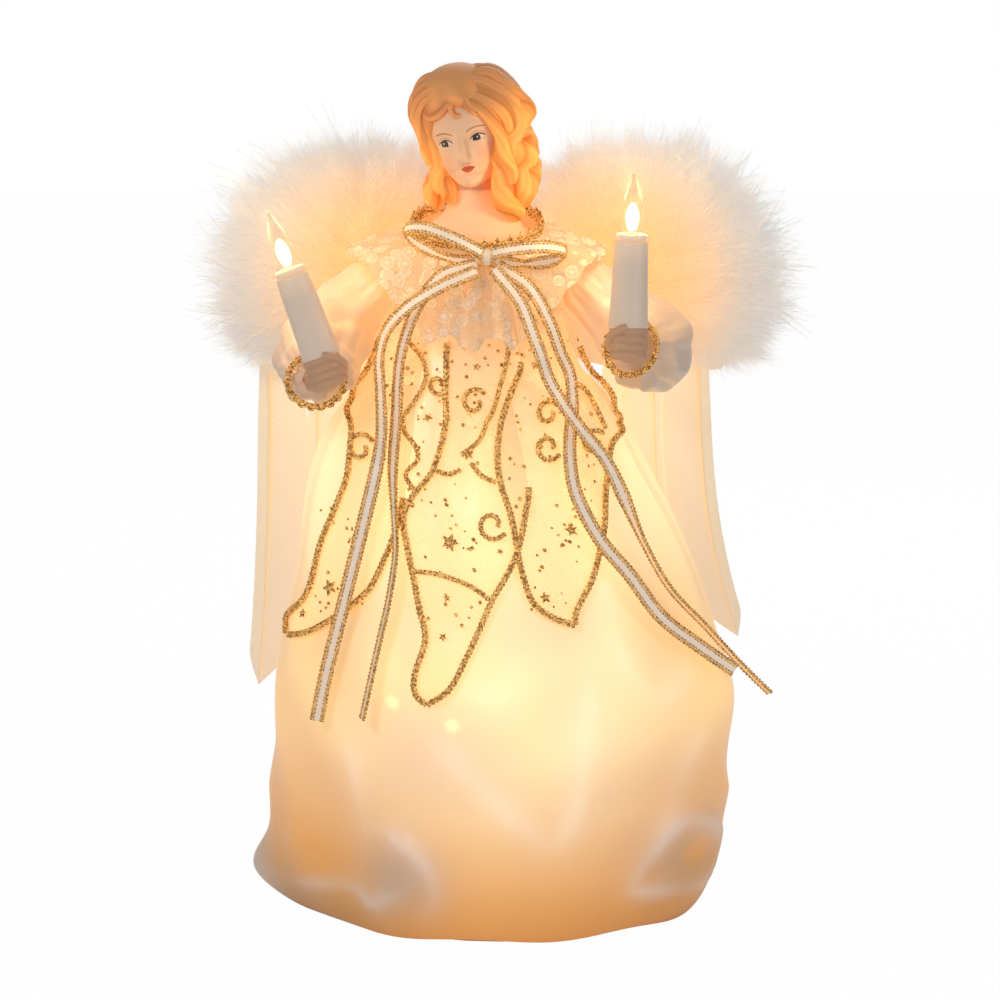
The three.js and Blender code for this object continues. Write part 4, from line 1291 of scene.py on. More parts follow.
class Palette:
    """All the materials, made once."""

    def __init__(self) -> None:
        """Makes them."""
        self.satin = Satin("white_satin").make()
        self.sleeve = Satin("sleeve_satin", cool=(0.82, 0.75, 0.68)).make()
        self.organza = Sheer("sheer_organza").make()
        self.lace = Lace("ivory_lace").make()
        self.gold = Glitter("gold_cord").make()
        self.ribbon = Ribbon("gold_edged_ribbon").make()
        self.down = Plume("marabou_down").make()
        self.vane = Vane("goose_feather").make()
        self.skin = PaintedSkin("painted_bisque").make()
        self.hair = MouldedHair("painted_hair").make()
        self.hand = Plain("hand_casting", (0.74, 0.44, 0.27), 0.5).make()
        tube = Lit("candle_plastic", (0.86, 0.71, 0.59), (0.07, 0.04, 0.02), (0.40, 0.24, 0.10), 1.0, 0.3)
        heart = Lit("lit_filament", (0.9, 0.8, 0.6), (1.0, 0.62, 0.18), (1.0, 0.90, 0.60), 2.4, 0.2)
        self.tube, self.heart = tube.make(), heart.make()
        glass = Lit("clear_bulb", (0.30, 0.25, 0.18), (0.05, 0.04, 0.02), (0.75, 0.55, 0.22), 1.0, 0.03, 0.15)
        self.glass = glass.make()
        self.carried = {
            "moulded_plastic": Plain("cone_plastic", (0.75, 0.72, 0.66), 0.5).make(),
            "steel_wire": Plain("steel_wire", (0.55, 0.55, 0.56), 0.35, 1.0).make(),
            "green_wire": Plain("green_wire", (0.02, 0.10, 0.04), 0.45).make(),
            "green_plastic": Plain("green_plastic", (0.02, 0.13, 0.05), 0.4).make(),
            "card": Card("white_card").make(),
            "bulb_glass": Plain("small_bulb", (0.95, 0.72, 0.35), 0.15).make(),
        }


@dataclass
class Skirt:
    """The skirt and the bodice."""

    dress: Dress
    colours: Palette
    cloth: float = 0.6

    # Where lamps show through, as an angle in degrees and a height.
    SPOTS = ((-28.2, 84.6), (-11.8, 78.1))

    def folds(self, a: float, z: float) -> float:
        """Gives how far a place stands out on the cloth's small folds.

        Args:
            a: The angle from the front.
            z: The height.

        Returns:
            From -1 in a valley to 1 on a crest.
        """
        t = self.dress.fall_share(max(z, self.dress.low[1]))
        folds = self.dress.fold(a, t) - 2.4 * ease(t, 0.3, 1) * math.cos(5 * a + 0.7)
        return max(-1.0, min(1.0, folds / 3.0))

    @staticmethod
    def patch(turn: float, z: float) -> float:
        """Gives where no lamp shines through the cloth: the corners of the hem and its bulge behind.

        Args:
            turn: The angle from the front, in degrees.
            z: The height.

        Returns:
            How far the painted lamp light is dimmed there, from 0 to 1.
        """
        left = hill(turn + 27, 13) * hill(z - 24, 13)
        right = hill(turn - 57, 19) * hill(z - 27, 15) * (1 - 0.75 * hill(turn - 60, 7) * hill(z - 28, 6))
        rim = 0.8 * hill(turn + 60, 26) * hill(z - 8, 9)
        behind = 1.4 * hill(turn + 100, 19) * hill(z - 12, 15)
        return min(1.0, left + right + rim + behind)

    def glow(self, at: Vector, a: float) -> float:
        """Gives how much lamp light comes through the cloth.

        Args:
            at: The place.
            a: Its angle from the front.

        Returns:
            The light.
        """
        turn = math.degrees(a)
        near = sum(1 / (1 + ((at - lamp).length / 20) ** 2) ** 2 for lamp in self.dress.lamp_places())
        body = (0.50 * ease(at.z, -4, 76) + 0.28 * ease(at.z, 95, 160)) * (1 - 0.24 * ease(at.z, 158, 189))
        middle = 0.19 * hill(turn - 8, 46) * hill(at.z - 84, 46)
        low = 0.22 * hill(turn - 3, 70) * (1 - ease(at.z, 20, 60))
        spots = sum(hill(DEGREE * (turn - at_turn), 1.7) * hill(at.z - z, 1.7) for at_turn, z in self.SPOTS)
        behind = 1 - 0.35 * ease(abs(turn), 80, 130)
        # Painted light and shade on the folds: the glow rises on their crests and on the crests' painted
        # sheen, and falls in their valleys.
        fold = 0.30 * self.folds(a, at.z) * (1 - 0.5 * ease(at.z, 90, 150))
        shade = 1 + fold + 0.10 * self.dress.crests(a, at.z)[1]
        light = (body + middle + low + 0.6 * spots + 0.15 * near) * behind * shade
        return max(0.0, light * (1 - 0.8 * self.patch(turn, at.z)))

    def warm(self, at: Vector, a: float) -> float:
        """Gives how far the cloth's colour is painted with the lamps' warm light: most at the hem and the
        sides, less where the crests have painted silvery sheen and on the dimmed patches.

        Args:
            at: The place.
            a: Its angle from the front.

        Returns:
            The warmth, from 0 to 1.
        """
        turn = math.degrees(a)
        hem = 1 - ease(at.z, 4, 70)
        side = 0.30 * ease(abs(turn), 22, 66) * (1 - 0.95 * ease(at.z, 90, 150))
        sheen = 0.8 * self.dress.crests(a, at.z)[1]
        # Painted shade: less lamp warmth on the dimmed patches, least on the hem's bulge behind.
        unlit = 0.30 * self.patch(turn, at.z) + 0.9 * hill(turn + 100, 19) * hill(at.z - 12, 15)
        plain = 0.26 * (1 - 0.7 * ease(at.z, 100, 150))
        return min(1.0, max(0.0, plain + 0.76 * hem + side - sheen - unlit))

    def make(self) -> None:
        """Makes the skirt and the bodice."""
        shape = Shape("glow", "warm")
        fall = self.dress.skirt
        made = shape.grid(
            lambda u, v: fall(TAU * (u - 0.5), v),
            280, 166,
            glow=lambda u, v: self.glow(fall(TAU * (u - 0.5), v), TAU * (u - 0.5)),
            warm=lambda u, v: self.warm(fall(TAU * (u - 0.5), v), TAU * (u - 0.5)),
        )
        shape.close(made)
        satin, axis = self.colours.satin, self.dress.axis
        skirt = shape.piece("skirt_cloth", satin, "satin", ["skirt"], axis, self.cloth)
        shape = Shape("glow", "warm")

        def place(u: float, v: float) -> Vector:
            """Lays out the bodice.

            Args:
                u: The share around.
                v: The share up.

            Returns:
                The place.
            """
            a = TAU * (u - 0.5)
            z = mix(self.dress.waist_z - 1, self.dress.neck_at(a) - 1, v)
            return self.dress.on(a, max(z, self.dress.waist_z), -0.2)

        shape.close(shape.grid(place, 160, 40))
        # Painted lamp light, fading up the bodice, and painted lamp warmth in its colour, rising up it.
        shape.mark("glow", shape.bm.verts, lambda at: mix(0.60, 0.28, ease(at.z, 189, 220)))
        shape.mark("warm", shape.bm.verts, lambda at: mix(0.08, 0.35, ease(at.z, 189, 220)))
        satin, axis = self.colours.satin, self.dress.axis
        bodice = shape.piece("bodice_cloth", satin, "satin", ["bodice"], axis, self.cloth)


@dataclass(frozen=True)
class Petal:
    """One petal of the sheer overlay.

    Attributes:
        node: The CAD node it stands for.
        left: Its left edge as X and height, from the top to the tip.
        right: Its right edge, likewise.
        lift: How far it lies off the dress.
        cord_left: The share of the left edge where its cord starts.
        cord_right: The share of the right edge where its cord starts.
    """

    node: str
    left: tuple[Flat, ...]
    right: tuple[Flat, ...]
    lift: float
    cord_left: float = 0.0
    cord_right: float = 0.0


FRONT_PETALS = (
    Petal(
        "petal_front_left",
        ((-36, 214), (-44, 202), (-48.8, 189.4), (-51, 175), (-52, 159.8), (-55.4, 149.7), (-61.7, 134.1),
         (-67.7, 114.8), (-74.2, 106), (-74, 102.4)),
        ((-24, 214), (-27, 195), (-30, 172), (-33.1, 150.7), (-35.8, 140.7), (-39.2, 132.2), (-44.4, 121.7),
         (-55.1, 111.7), (-65.8, 104.5), (-72.6, 102)),
        1.0,
        0.16,
        0.46,
    ),
    Petal(
        "petal_front_right",
        ((4, 216), (6.9, 196.7), (4.1, 188.7), (0.7, 179.9), (-0.7, 172.7), (-1, 165.3), (0.3, 157.9),
         (3.4, 148.8), (5.8, 137), (7.1, 130.4), (11.2, 119.3), (18, 114), (25.1, 111.3)),
        ((24, 214), (28.2, 202.7), (33, 197.2), (36.5, 190.1), (39.2, 180.4), (38.7, 170), (36.7, 160.6),
         (35.5, 148.6), (33.7, 135.9), (31, 126.1), (25.5, 115.3), (25.2, 111.4)),
        1.6,
        0.16,
        0.1,
    ),
    Petal(
        "petal_front_middle",
        ((-16, 218), (-18, 205), (-18.7, 189.9), (-18.5, 177.9), (-22.9, 162.4), (-29, 154.8),
         (-32.4, 147.8), (-31, 136.1), (-29.6, 129.5), (-27.2, 117.1), (-25.1, 106.9), (-28.8, 94.1),
         (-28.2, 88.1), (-24.6, 85.4)),
        ((5, 218), (3.4, 207), (2.4, 198.1), (4, 184), (7, 170), (9.5, 157), (8.5, 148.6), (5.1, 134.7),
         (-2.7, 120.4), (-7.1, 110.4), (-11.5, 101), (-17.3, 90.4), (-24.2, 85.3)),
        2.2,
        0.1,
        0.44,
    ),
)


@dataclass
class Overlay:
    """The organza petals with their cords, scrolls and stars.

    Attributes:
        dress: What they lie on.
        colours: The materials.
        cord_r: The edge cords' radius.
        fine_r: The radius of the scrolls and the loose cords.
        fine_lift: How far these lie off the dress.
        star_lift: How far the stars lie off it.
        rise: What heights are divided by on a petal's edge.
    """

    dress: Dress
    colours: Palette
    cord_r: float = 1.32
    fine_r: float = 1.05
    fine_lift: float = 3.0
    star_lift: float = 2.6
    rise: float = 60.0

    # Cords inside the petals, as X and height.
    LOOSE_CORDS = (
        ((-29.6, 129.2), (-22.8, 128.8), (-15.6, 127.1), (-8.8, 124.5), (-2.7, 120.1)),
        ((-33.1, 205.3), (-26.7, 198.2), (-25.6, 192.1), (-29.4, 184.5), (-33.6, 179.3)),
        ((-33.6, 179.3), (-32.7, 174.5), (-29.1, 170.2), (-28.1, 166.1), (-32.2, 161.1), (-28.3, 154.8)),
        ((3.4, 207), (2.4, 198.1), (0, 189.7), (-2.1, 182.4), (-4.5, 178.3), (-7.2, 172.5), (-13.3, 167.7)),
        ((-21.9, 162.4), (-17.5, 161.6), (-13.3, 163.2)),
        ((-9.9, 165.3), (-6, 161.2), (-1.4, 159.2)),
        ((26, 189.7), (29.5, 187.3), (33.6, 180.6), (36.6, 174)),
    )
    # Each scroll's X, height, size and way round.
    SCROLLS = ((-8.9, 184.5, 4.6, 1), (-2.7, 145.6, 5.2, -1), (-48.2, 168.2, 5.0, 1),
               (16.4, 169.9, 4.6, -1), (16.5, 180.5, 4.2, 1), (32.3, 169.9, 4.4, 1),
               (-21.5, 190.0, 3.4, -1))
    # Each star's X, height and size.
    STARS = ((-17, 139.4, 3.3), (-58.7, 120.5, 3.1), (24.2, 142.8, 2.4), (-24.8, 179.3, 1.8),
             (15.3, 120.8, 2.1), (-68.4, 110.4, 1.7), (-10.9, 168.1, 2.3), (-18, 120.8, 1.4),
             (-19.3, 107.9, 1.5), (0, 136.8, 1.2), (-8, 196, 1.5), (12, 196, 1.4))

    def at(self, x: float, z: float, lift: float) -> Vector:
        """Puts a place seen from the front on the dress."""
        return self.dress.on(self.dress.angle(x, z, lift), z, lift)

    def glow(self, at: Vector) -> float:
        """Gives how much light comes through the organza."""
        return 0.35 + 0.45 * (1 - ease(at.z, 90, 190))

    def petal(self, petal: Petal, cords: Shape) -> None:
        """Makes one front petal and its edge cords.

        Args:
            petal: Which one.
            cords: The piece that the cords join.
        """
        edges = []
        for edge in (petal.left, petal.right):
            edges.append(Route([(self.dress.angle(x, z, petal.lift), z / self.rise, 0) for x, z in edge]))

        def place(u: float, v: float) -> Vector:
            """Lays out the petal between its edges.

            Args:
                u: The share across.
                v: The share down.

            Returns:
                The place.
            """
            row = edges[0].at(v).lerp(edges[1].at(v), u)
            sag = 0.7 * math.sin(math.pi * u) * math.sin(3 * math.pi * v + 4 * u) * (1 - v)
            return self.dress.on(row.x, row.y * self.rise, petal.lift + sag)

        self.cloth(petal.node, place, 40)
        for edge, start in zip(edges, (petal.cord_left, petal.cord_right)):
            stops = [edge.at(mix(start, 1, i / 40)) for i in range(41)]
            self.cord([self.dress.on(p.x, p.y * self.rise, petal.lift + 0.9) for p in stops], cords)

    def cloth(self, node: str, place: Layout, across: int) -> None:
        """Makes one petal's cloth.

        Args:
            node: The CAD node it stands for.
            place: Lays it out.
            across: Cells across.
        """
        shape = Shape("glow")
        shape.close(shape.grid(place, across, 90))
        shape.mark("glow", shape.bm.verts, self.glow)
        obj = shape.piece(node + "_cloth", self.colours.organza, "organza", [node], self.dress.axis, 0.25)
        area = measured(obj)
        length = 0.145 if "front" in node else 0.125
        area / length * 1.25

    def cord(self, points: Sequence[Vector], cords: Shape, radius: float | None = None) -> None:
        """Adds one length of twisted cord.

        Args:
            points: Where it lies.
            cords: The piece it joins.
            radius: Its radius, where it isn't the usual one.
        """
        route = Route([tuple(p) for p in points], 6)
        size = radius or self.cord_r
        steps = max(12, int(route.length / 0.55))
        cords.sweep(route, twisted_section(size, route.length / 3.4), steps, 8)

    def back_petal(self, node: str, top: float, tip: float, tip_z: float, cords: Shape) -> None:
        """Makes one back petal.

        Args:
            node: The CAD node it stands for.
            top: Its angle at the waist, in degrees.
            tip: Its angle at the tip.
            tip_z: The tip's height.
            cords: The piece that its cords join.
        """

        def row(u: float, v: float) -> Flat:
            """Gives the angle and height of one place."""
            half = 13 * mix(0.35, 1, ease(v, 0, 0.55)) * mix(1, 0.03, ease(v, 0.6, 1))
            return math.radians(mix(top, tip, v * v) + half * (2 * u - 1)), mix(216, tip_z, v)

        self.cloth(node, lambda u, v: self.dress.on(*row(u, v), 1.2), 24)
        for u in (0, 1):
            self.cord([self.dress.on(*row(u, i / 30), 2.1) for i in range(4, 31)], cords)

    def make(self) -> None:
        """Makes the overlay."""
        cords = Shape()
        for petal in FRONT_PETALS:
            self.petal(petal, cords)
        self.back_petal("petal_back_right", 150, 148, 112, cords)
        self.back_petal("petal_back_left", -155, -155, 106, cords)
        for line in self.LOOSE_CORDS:
            self.cord([self.at(x, z, self.fine_lift) for x, z in line], cords, self.fine_r)
        for x, z, size, turn in self.SCROLLS:
            curl = []
            for i in range(30):
                share = i / 29
                way = turn * (0.6 + 0.961 * TAU * share)
                r = size * (1 - 0.62 * share)
                curl.append(self.at(x + r * math.cos(way), z + r * math.sin(way), self.fine_lift))
            self.cord(curl, cords, self.fine_r)
        cords.piece("overlay_cords", self.colours.gold, "gold_braid")
        self.stars()

    def stars(self) -> None:
        """Makes the glitter stars and dots."""
        shape = Shape()
        chance = random.Random(5)
        spots = list(self.STARS)
        while len(spots) < 190:
            z = chance.uniform(112, 205)
            wide = mix(26, 14, ease(z, 112, 205))
            if z > 150:
                x = chance.uniform(-40, 33)
            else:
                x = chance.choice((-56, -16, 20)) + chance.uniform(-wide, wide) / 2.6
            spots.append((x, z, chance.uniform(0.4, 0.85)))
        for x, z, size in spots:
            lift, on = self.star_lift, self.dress.on
            a = self.dress.angle(x, z, lift)
            here = on(a, z, lift + 0.1)
            level = (on(a + 0.02, z, lift) - on(a - 0.02, z, lift)).normalized()
            rise = (on(a, z + 1, lift) - on(a, z - 1, lift)).normalized()
            out = level.cross(rise).normalized()
            turn = Matrix((level, out, rise)).transposed().to_4x4()
            turn.translation = here
            if size < 1:
                shape.ball(turn @ Matrix.Diagonal((size, 0.3, size, 1)), 6)
                continue
            tip = chance.uniform(0, TAU)
            star = bmesh.ops.create_circle(shape.bm, cap_ends=True, radius=1, segments=10)["verts"]
            for i, vert in enumerate(star):
                r = size * (1.0 if i % 2 == 0 else 0.46)
                way = tip + i * TAU / 10
                vert.co = turn @ Vector((r * math.cos(way), -0.25, r * math.sin(way)))
            faces = list({f for v in star for f in v.link_faces})
            back = bmesh.ops.extrude_face_region(shape.bm, geom=faces)["geom"]
            moved = [g for g in back if isinstance(g, bmesh.types.BMVert)]
            bmesh.ops.translate(shape.bm, vec=out * 0.6, verts=moved)
        shape.piece("overlay_stars", self.colours.gold, "gold_braid")


@dataclass
class LaceCollar:
    """The lace over the shoulders and its front fall."""

    dress: Dress
    colours: Palette

    def place(self, u: float, s: float) -> Vector:
        """Lays out the collar, from the neck to its edge.

        Args:
            u: The share around.
            s: The share from the neck to the edge.

        Returns:
            The place.
        """
        a = TAU * (u - 0.5)
        turn = abs(math.degrees(a))
        root_z = self.dress.neck_at(a) - 2.3
        root = self.dress.bodice_r(root_z) + 1.2
        side = ease(turn, 25, 70)
        edge_r = mix(mix(37, 45, side), 29, ease(turn, 100, 150))
        edge_z = mix(208, 234, side)
        front = 1 - ease(turn, 22, 46)
        ruffle = s * (1.3 * math.cos(12 * a) + 0.7 * s * math.cos(31 * a + 1.7) + 0.4 * s * math.cos(53 * a))
        ruffle += front * s * (1.3 + 1.5 * math.cos(21 * a + 0.8) + 0.8 * math.cos(37 * a))
        steep = mix(1, 0.25, side)
        r = mix(root, edge_r, s) + ruffle * steep
        z = mix(root_z, min(edge_z, root_z - 1), s ** mix(1, 2, side)) + ruffle * (1 - steep)
        z -= 1.4 * ease(s, 0.85, 1) * (0.5 + 0.5 * math.cos(40 * a))
        z += front * s * (5.0 * ease(turn, 14, 40) - 5.0 * abs(math.cos(7.5 * a + 0.4)) ** 1.5 * s * s)
        return self.dress.ring(a, r, mix(self.dress.neck_depth, 0.85, s), z)

    def glow(self, u: float, s: float) -> float:
        """Gives how warm the light through the lace is.

        Args:
            u: The share around.
            s: The share from the neck to the edge.

        Returns:
            The light.
        """
        a = TAU * (u - 0.5)
        front = 1 - ease(abs(math.degrees(a)), 16, 44)
        # Painted light and shade on the ruffles: the glow rises on their ridges and falls in their hollows.
        ruffle = math.cos(21 * a + 0.8 + 1.5 * s) + 0.5 * math.cos(37 * a - 2 * s)
        back = (1 - front) * 0.05 * math.cos(12 * a) * s
        return max(0.15, 0.36 - front * (0.17 - 0.13 * s * ruffle) + back)

    def make(self) -> None:
        """Makes the collar."""
        shape = Shape("glow")
        shape.close(shape.grid(self.place, 420, 46, glow=self.glow))
        lace, axis = self.colours.lace, self.dress.axis
        obj = shape.piece("lace_collar_cloth", lace, "lace", ["lace_collar"], axis, 0.4)


@dataclass
class NeckBraid:
    """The gold gimp round the neck."""

    dress: Dress
    colours: Palette
    half: Flat = (22.3, 17.84)
    loops: int = 30

    def ring(self, a: float, out: float, up: float) -> Point:
        """Gives a place on the braid.

        Args:
            a: The angle from the front.
            out: How far out of its line.
            up: How far above it.

        Returns:
            The place.
        """
        z = self.dress.neck_at(a)
        x = self.dress.lean_at(z) + (self.half[0] + out) * math.sin(a)
        return (x, -(self.half[1] + out) * math.cos(a), z + up)

    def make(self) -> None:
        """Makes the braid."""
        shape = Shape()
        for out, up, size in ((0.2, -0.8, 1.0), (0.0, 0.9, 1.0)):
            route = Route([self.ring(TAU * i / 90, out, up) for i in range(91)], 3)
            shape.sweep(route, twisted_section(size, route.length / 2.6), 330, 8)
        waves = []
        for i in range(self.loops * 12 + 1):
            a = TAU * i / (self.loops * 12)
            turn = self.loops * a
            shift = 0.045 * math.sin(turn)
            waves.append(self.ring(a + shift, 0.5 + 0.3 * math.cos(turn), 2.2 - 1.0 * math.cos(turn)))
        route = Route(waves, 1)
        shape.sweep(route, twisted_section(0.62, route.length / 2), self.loops * 24, 7)
        shape.piece("neck_gimp", self.colours.gold, "gold_braid", ["neck_braid"])


class RibbonMaker:
    """Makes flat gold-edged ribbon along a route."""

    wide = 5.2
    thick = 0.4
    bead = 1.4

    def lay(
        self, shape: Shape, route: Route, face: Facing, glow: Callable[[Vector], float]
    ) -> None:
        """Adds ribbon to a piece.

        Args:
            shape: The piece.
            route: The ribbon's middle.
            face: Gives which way its face looks.
            glow: Gives how warm the light on it is.
        """
        half = self.wide / 2 - 0.9
        steps = max(20, int(route.length / 0.8))

        def band(around: float, _: float) -> Flat:
            """Gives the flat middle's section.

            Args:
                around: The share around the section.
                _: The share along, which changes nothing.

            Returns:
                The offset.
            """
            turn = TAU * around
            flat = math.copysign(abs(math.cos(turn)) ** 0.35, math.cos(turn))
            return half * flat, self.thick / 2 * math.sin(turn)

        lit = {"glow": lambda u, v: glow(route.at(v))}
        shape.sweep(route, band, steps, 12, face, edge=lambda u, v: 0.0, **lit)
        for sign in (-1, 1):
            for size, inset in ((0.55, 0.55), (0.42, 1.42)):
                self._edge(shape, route, face, size, sign * (self.wide / 2 - inset), steps, lit)

    def _edge(
        self,
        shape: Shape,
        route: Route,
        face: Facing,
        size: float,
        shift: float,
        steps: int,
        lit: dict,
    ) -> None:
        """Adds one beaded gold line.

        Args:
            shape: The piece.
            route: The ribbon's middle.
            face: Gives which way its face looks.
            size: The line's radius.
            shift: Its distance from the middle.
            steps: Rows along the ribbon.
            lit: The glow mark.
        """
        fine = int(max(steps * 2, route.length / self.bead * 6))
        beads = route.length / self.bead

        def line(around: float, along: float) -> Flat:
            """Gives the beaded line's section."""
            r = size * (0.78 + 0.34 * math.cos(TAU * beads * along + 4 * shift))
            return shift + r * math.cos(TAU * around), 1.1 * r * math.sin(TAU * around)

        shape.sweep(route, line, fine, 6, face, edge=lambda u, v: 1.0, **lit)


@dataclass
class Bow:
    """The neck bow and its four tails."""

    colours: Palette
    knot: Point = (-4.5, -25.6, 233.9)

    # Each tail's route from the knot to its cut end, and how far its face turns.
    TAILS = {
        "ribbon_tail_left_face": (
            ((-8, -28.8, 229.3), (-21, -34, 224), (-32, -34, 217), (-39, -31, 209), (-41.5, -29.5, 200),
             (-41, -34, 188), (-40.5, -42, 175), (-42, -49, 164), (-46, -51, 147), (-50, -50, 131),
             (-54, -49, 115), (-60, -48, 91), (-63, -47, 76)),
            0.0,
        ),
        "ribbon_tail_left_edge": (
            ((-8, -26.2, 231.5), (-20, -30.5, 228), (-26, -31, 221), (-31, -30.5, 211), (-33.5, -29, 203),
             (-35, -27.5, 194), (-35.5, -34.5, 180), (-36.5, -45.5, 164), (-36, -52.5, 149),
             (-35.5, -56, 136), (-38, -58, 119), (-41, -59.5, 106), (-47, -60, 79)),
            1.3,
        ),
        "ribbon_tail_right_face": (
            ((-1, -25.5, 231), (10, -30, 224), (17, -31, 212), (21, -29, 201), (24, -28, 194),
             (25, -32, 183), (24, -39, 174), (24, -46, 165), (26, -51, 155), (34, -54, 140), (44, -54, 128),
             (55, -51, 113), (69, -43, 101), (81, -38, 92)),
            0.0,
        ),
        "ribbon_tail_right_edge": (
            ((-2, -27.5, 230), (7, -34, 219), (11, -36, 209), (14, -36, 201), (17, -34, 192),
             (22, -38, 184), (28, -43, 176), (36, -44, 166), (42, -46, 154), (49, -47, 138), (58, -45, 122),
             (71, -36, 107), (84, -29, 92), (94, -28, 82)),
            1.3,
        ),
    }

    @staticmethod
    def glow(at: Vector) -> float:
        """Gives how warm the light on the ribbon is."""
        return 0.30 * ease(at.z, 195, 235)

    def tails(self) -> None:
        """Makes the four tails."""
        for name, (points, twist) in self.TAILS.items():
            route = Route(points)

            def face(at: Vector, share: float, turn: float = twist, line: Route = route) -> Vector:
                """Gives which way the tail's face looks: off the dress, then to the front or edge-on.

                Args:
                    at: The place on the tail.
                    share: The share along it.
                    turn: How far its face turns.
                    line: Its route.

                Returns:
                    The way.
                """
                out = Vector((at.x, 1.4 * at.y, 12)).normalized()
                ahead = line.along(share)
                shown = Matrix.Rotation(turn, 3, ahead) @ Vector((0.1, -1, 0.15))
                return out.lerp(shown, ease(share, 0.40, 0.62))

            shape = Shape("edge", "glow")
            RibbonMaker().lay(shape, route, face, self.glow)
            obj = shape.piece(name + "_ribbon", self.colours.ribbon, "ribbon", [name])
            path = [tuple(route.at(i / 60) * MM) for i in range(61)]
            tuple(path[0])

    def make(self) -> None:
        """Makes the bow's loops and knot."""
        shape = Shape("edge", "glow")
        knot = Vector(self.knot)
        for side, reach, rise in ((-1, 28, 9), (1, 27, 1.5)):
            loop = ((1, -1.2, 1.2), (0.35 * reach, -3.8, 0.4 * rise + 2.4),
                    (0.8 * reach, -2.2, 0.9 * rise + 2.2), (reach, 2.0, rise),
                    (0.85 * reach, 4.6, 0.75 * rise - 2.6), (0.4 * reach, 2.6, 0.2 * rise - 2.8),
                    (1, 0.6, -1.0))
            route = Route([tuple(knot + Vector((side * x, y, z))) for x, y, z in loop])

            heart = knot + Vector((side * reach / 2, 0.5, rise / 2))

            def face(at: Vector, share: float, middle: Vector = heart) -> Vector:
                """Gives which way the loop's face looks: out of the loop, tipped to the front."""
                return (at - middle).normalized() + Vector((0, -0.9, 0.35))

            RibbonMaker().lay(shape, route, face, self.glow)
        place = Matrix.Translation(knot) @ Matrix.Diagonal((3.4, 2.6, 3.0, 1))
        made = shape.ball(place, 24)
        shape.mark("edge", made, lambda at: 0.85 if abs(at.x - knot.x) > 1.2 else 0.25)
        shape.mark("glow", made, lambda at: 0.3)
        shape.piece("neck_bow", self.colours.ribbon, "ribbon", ["bow"])


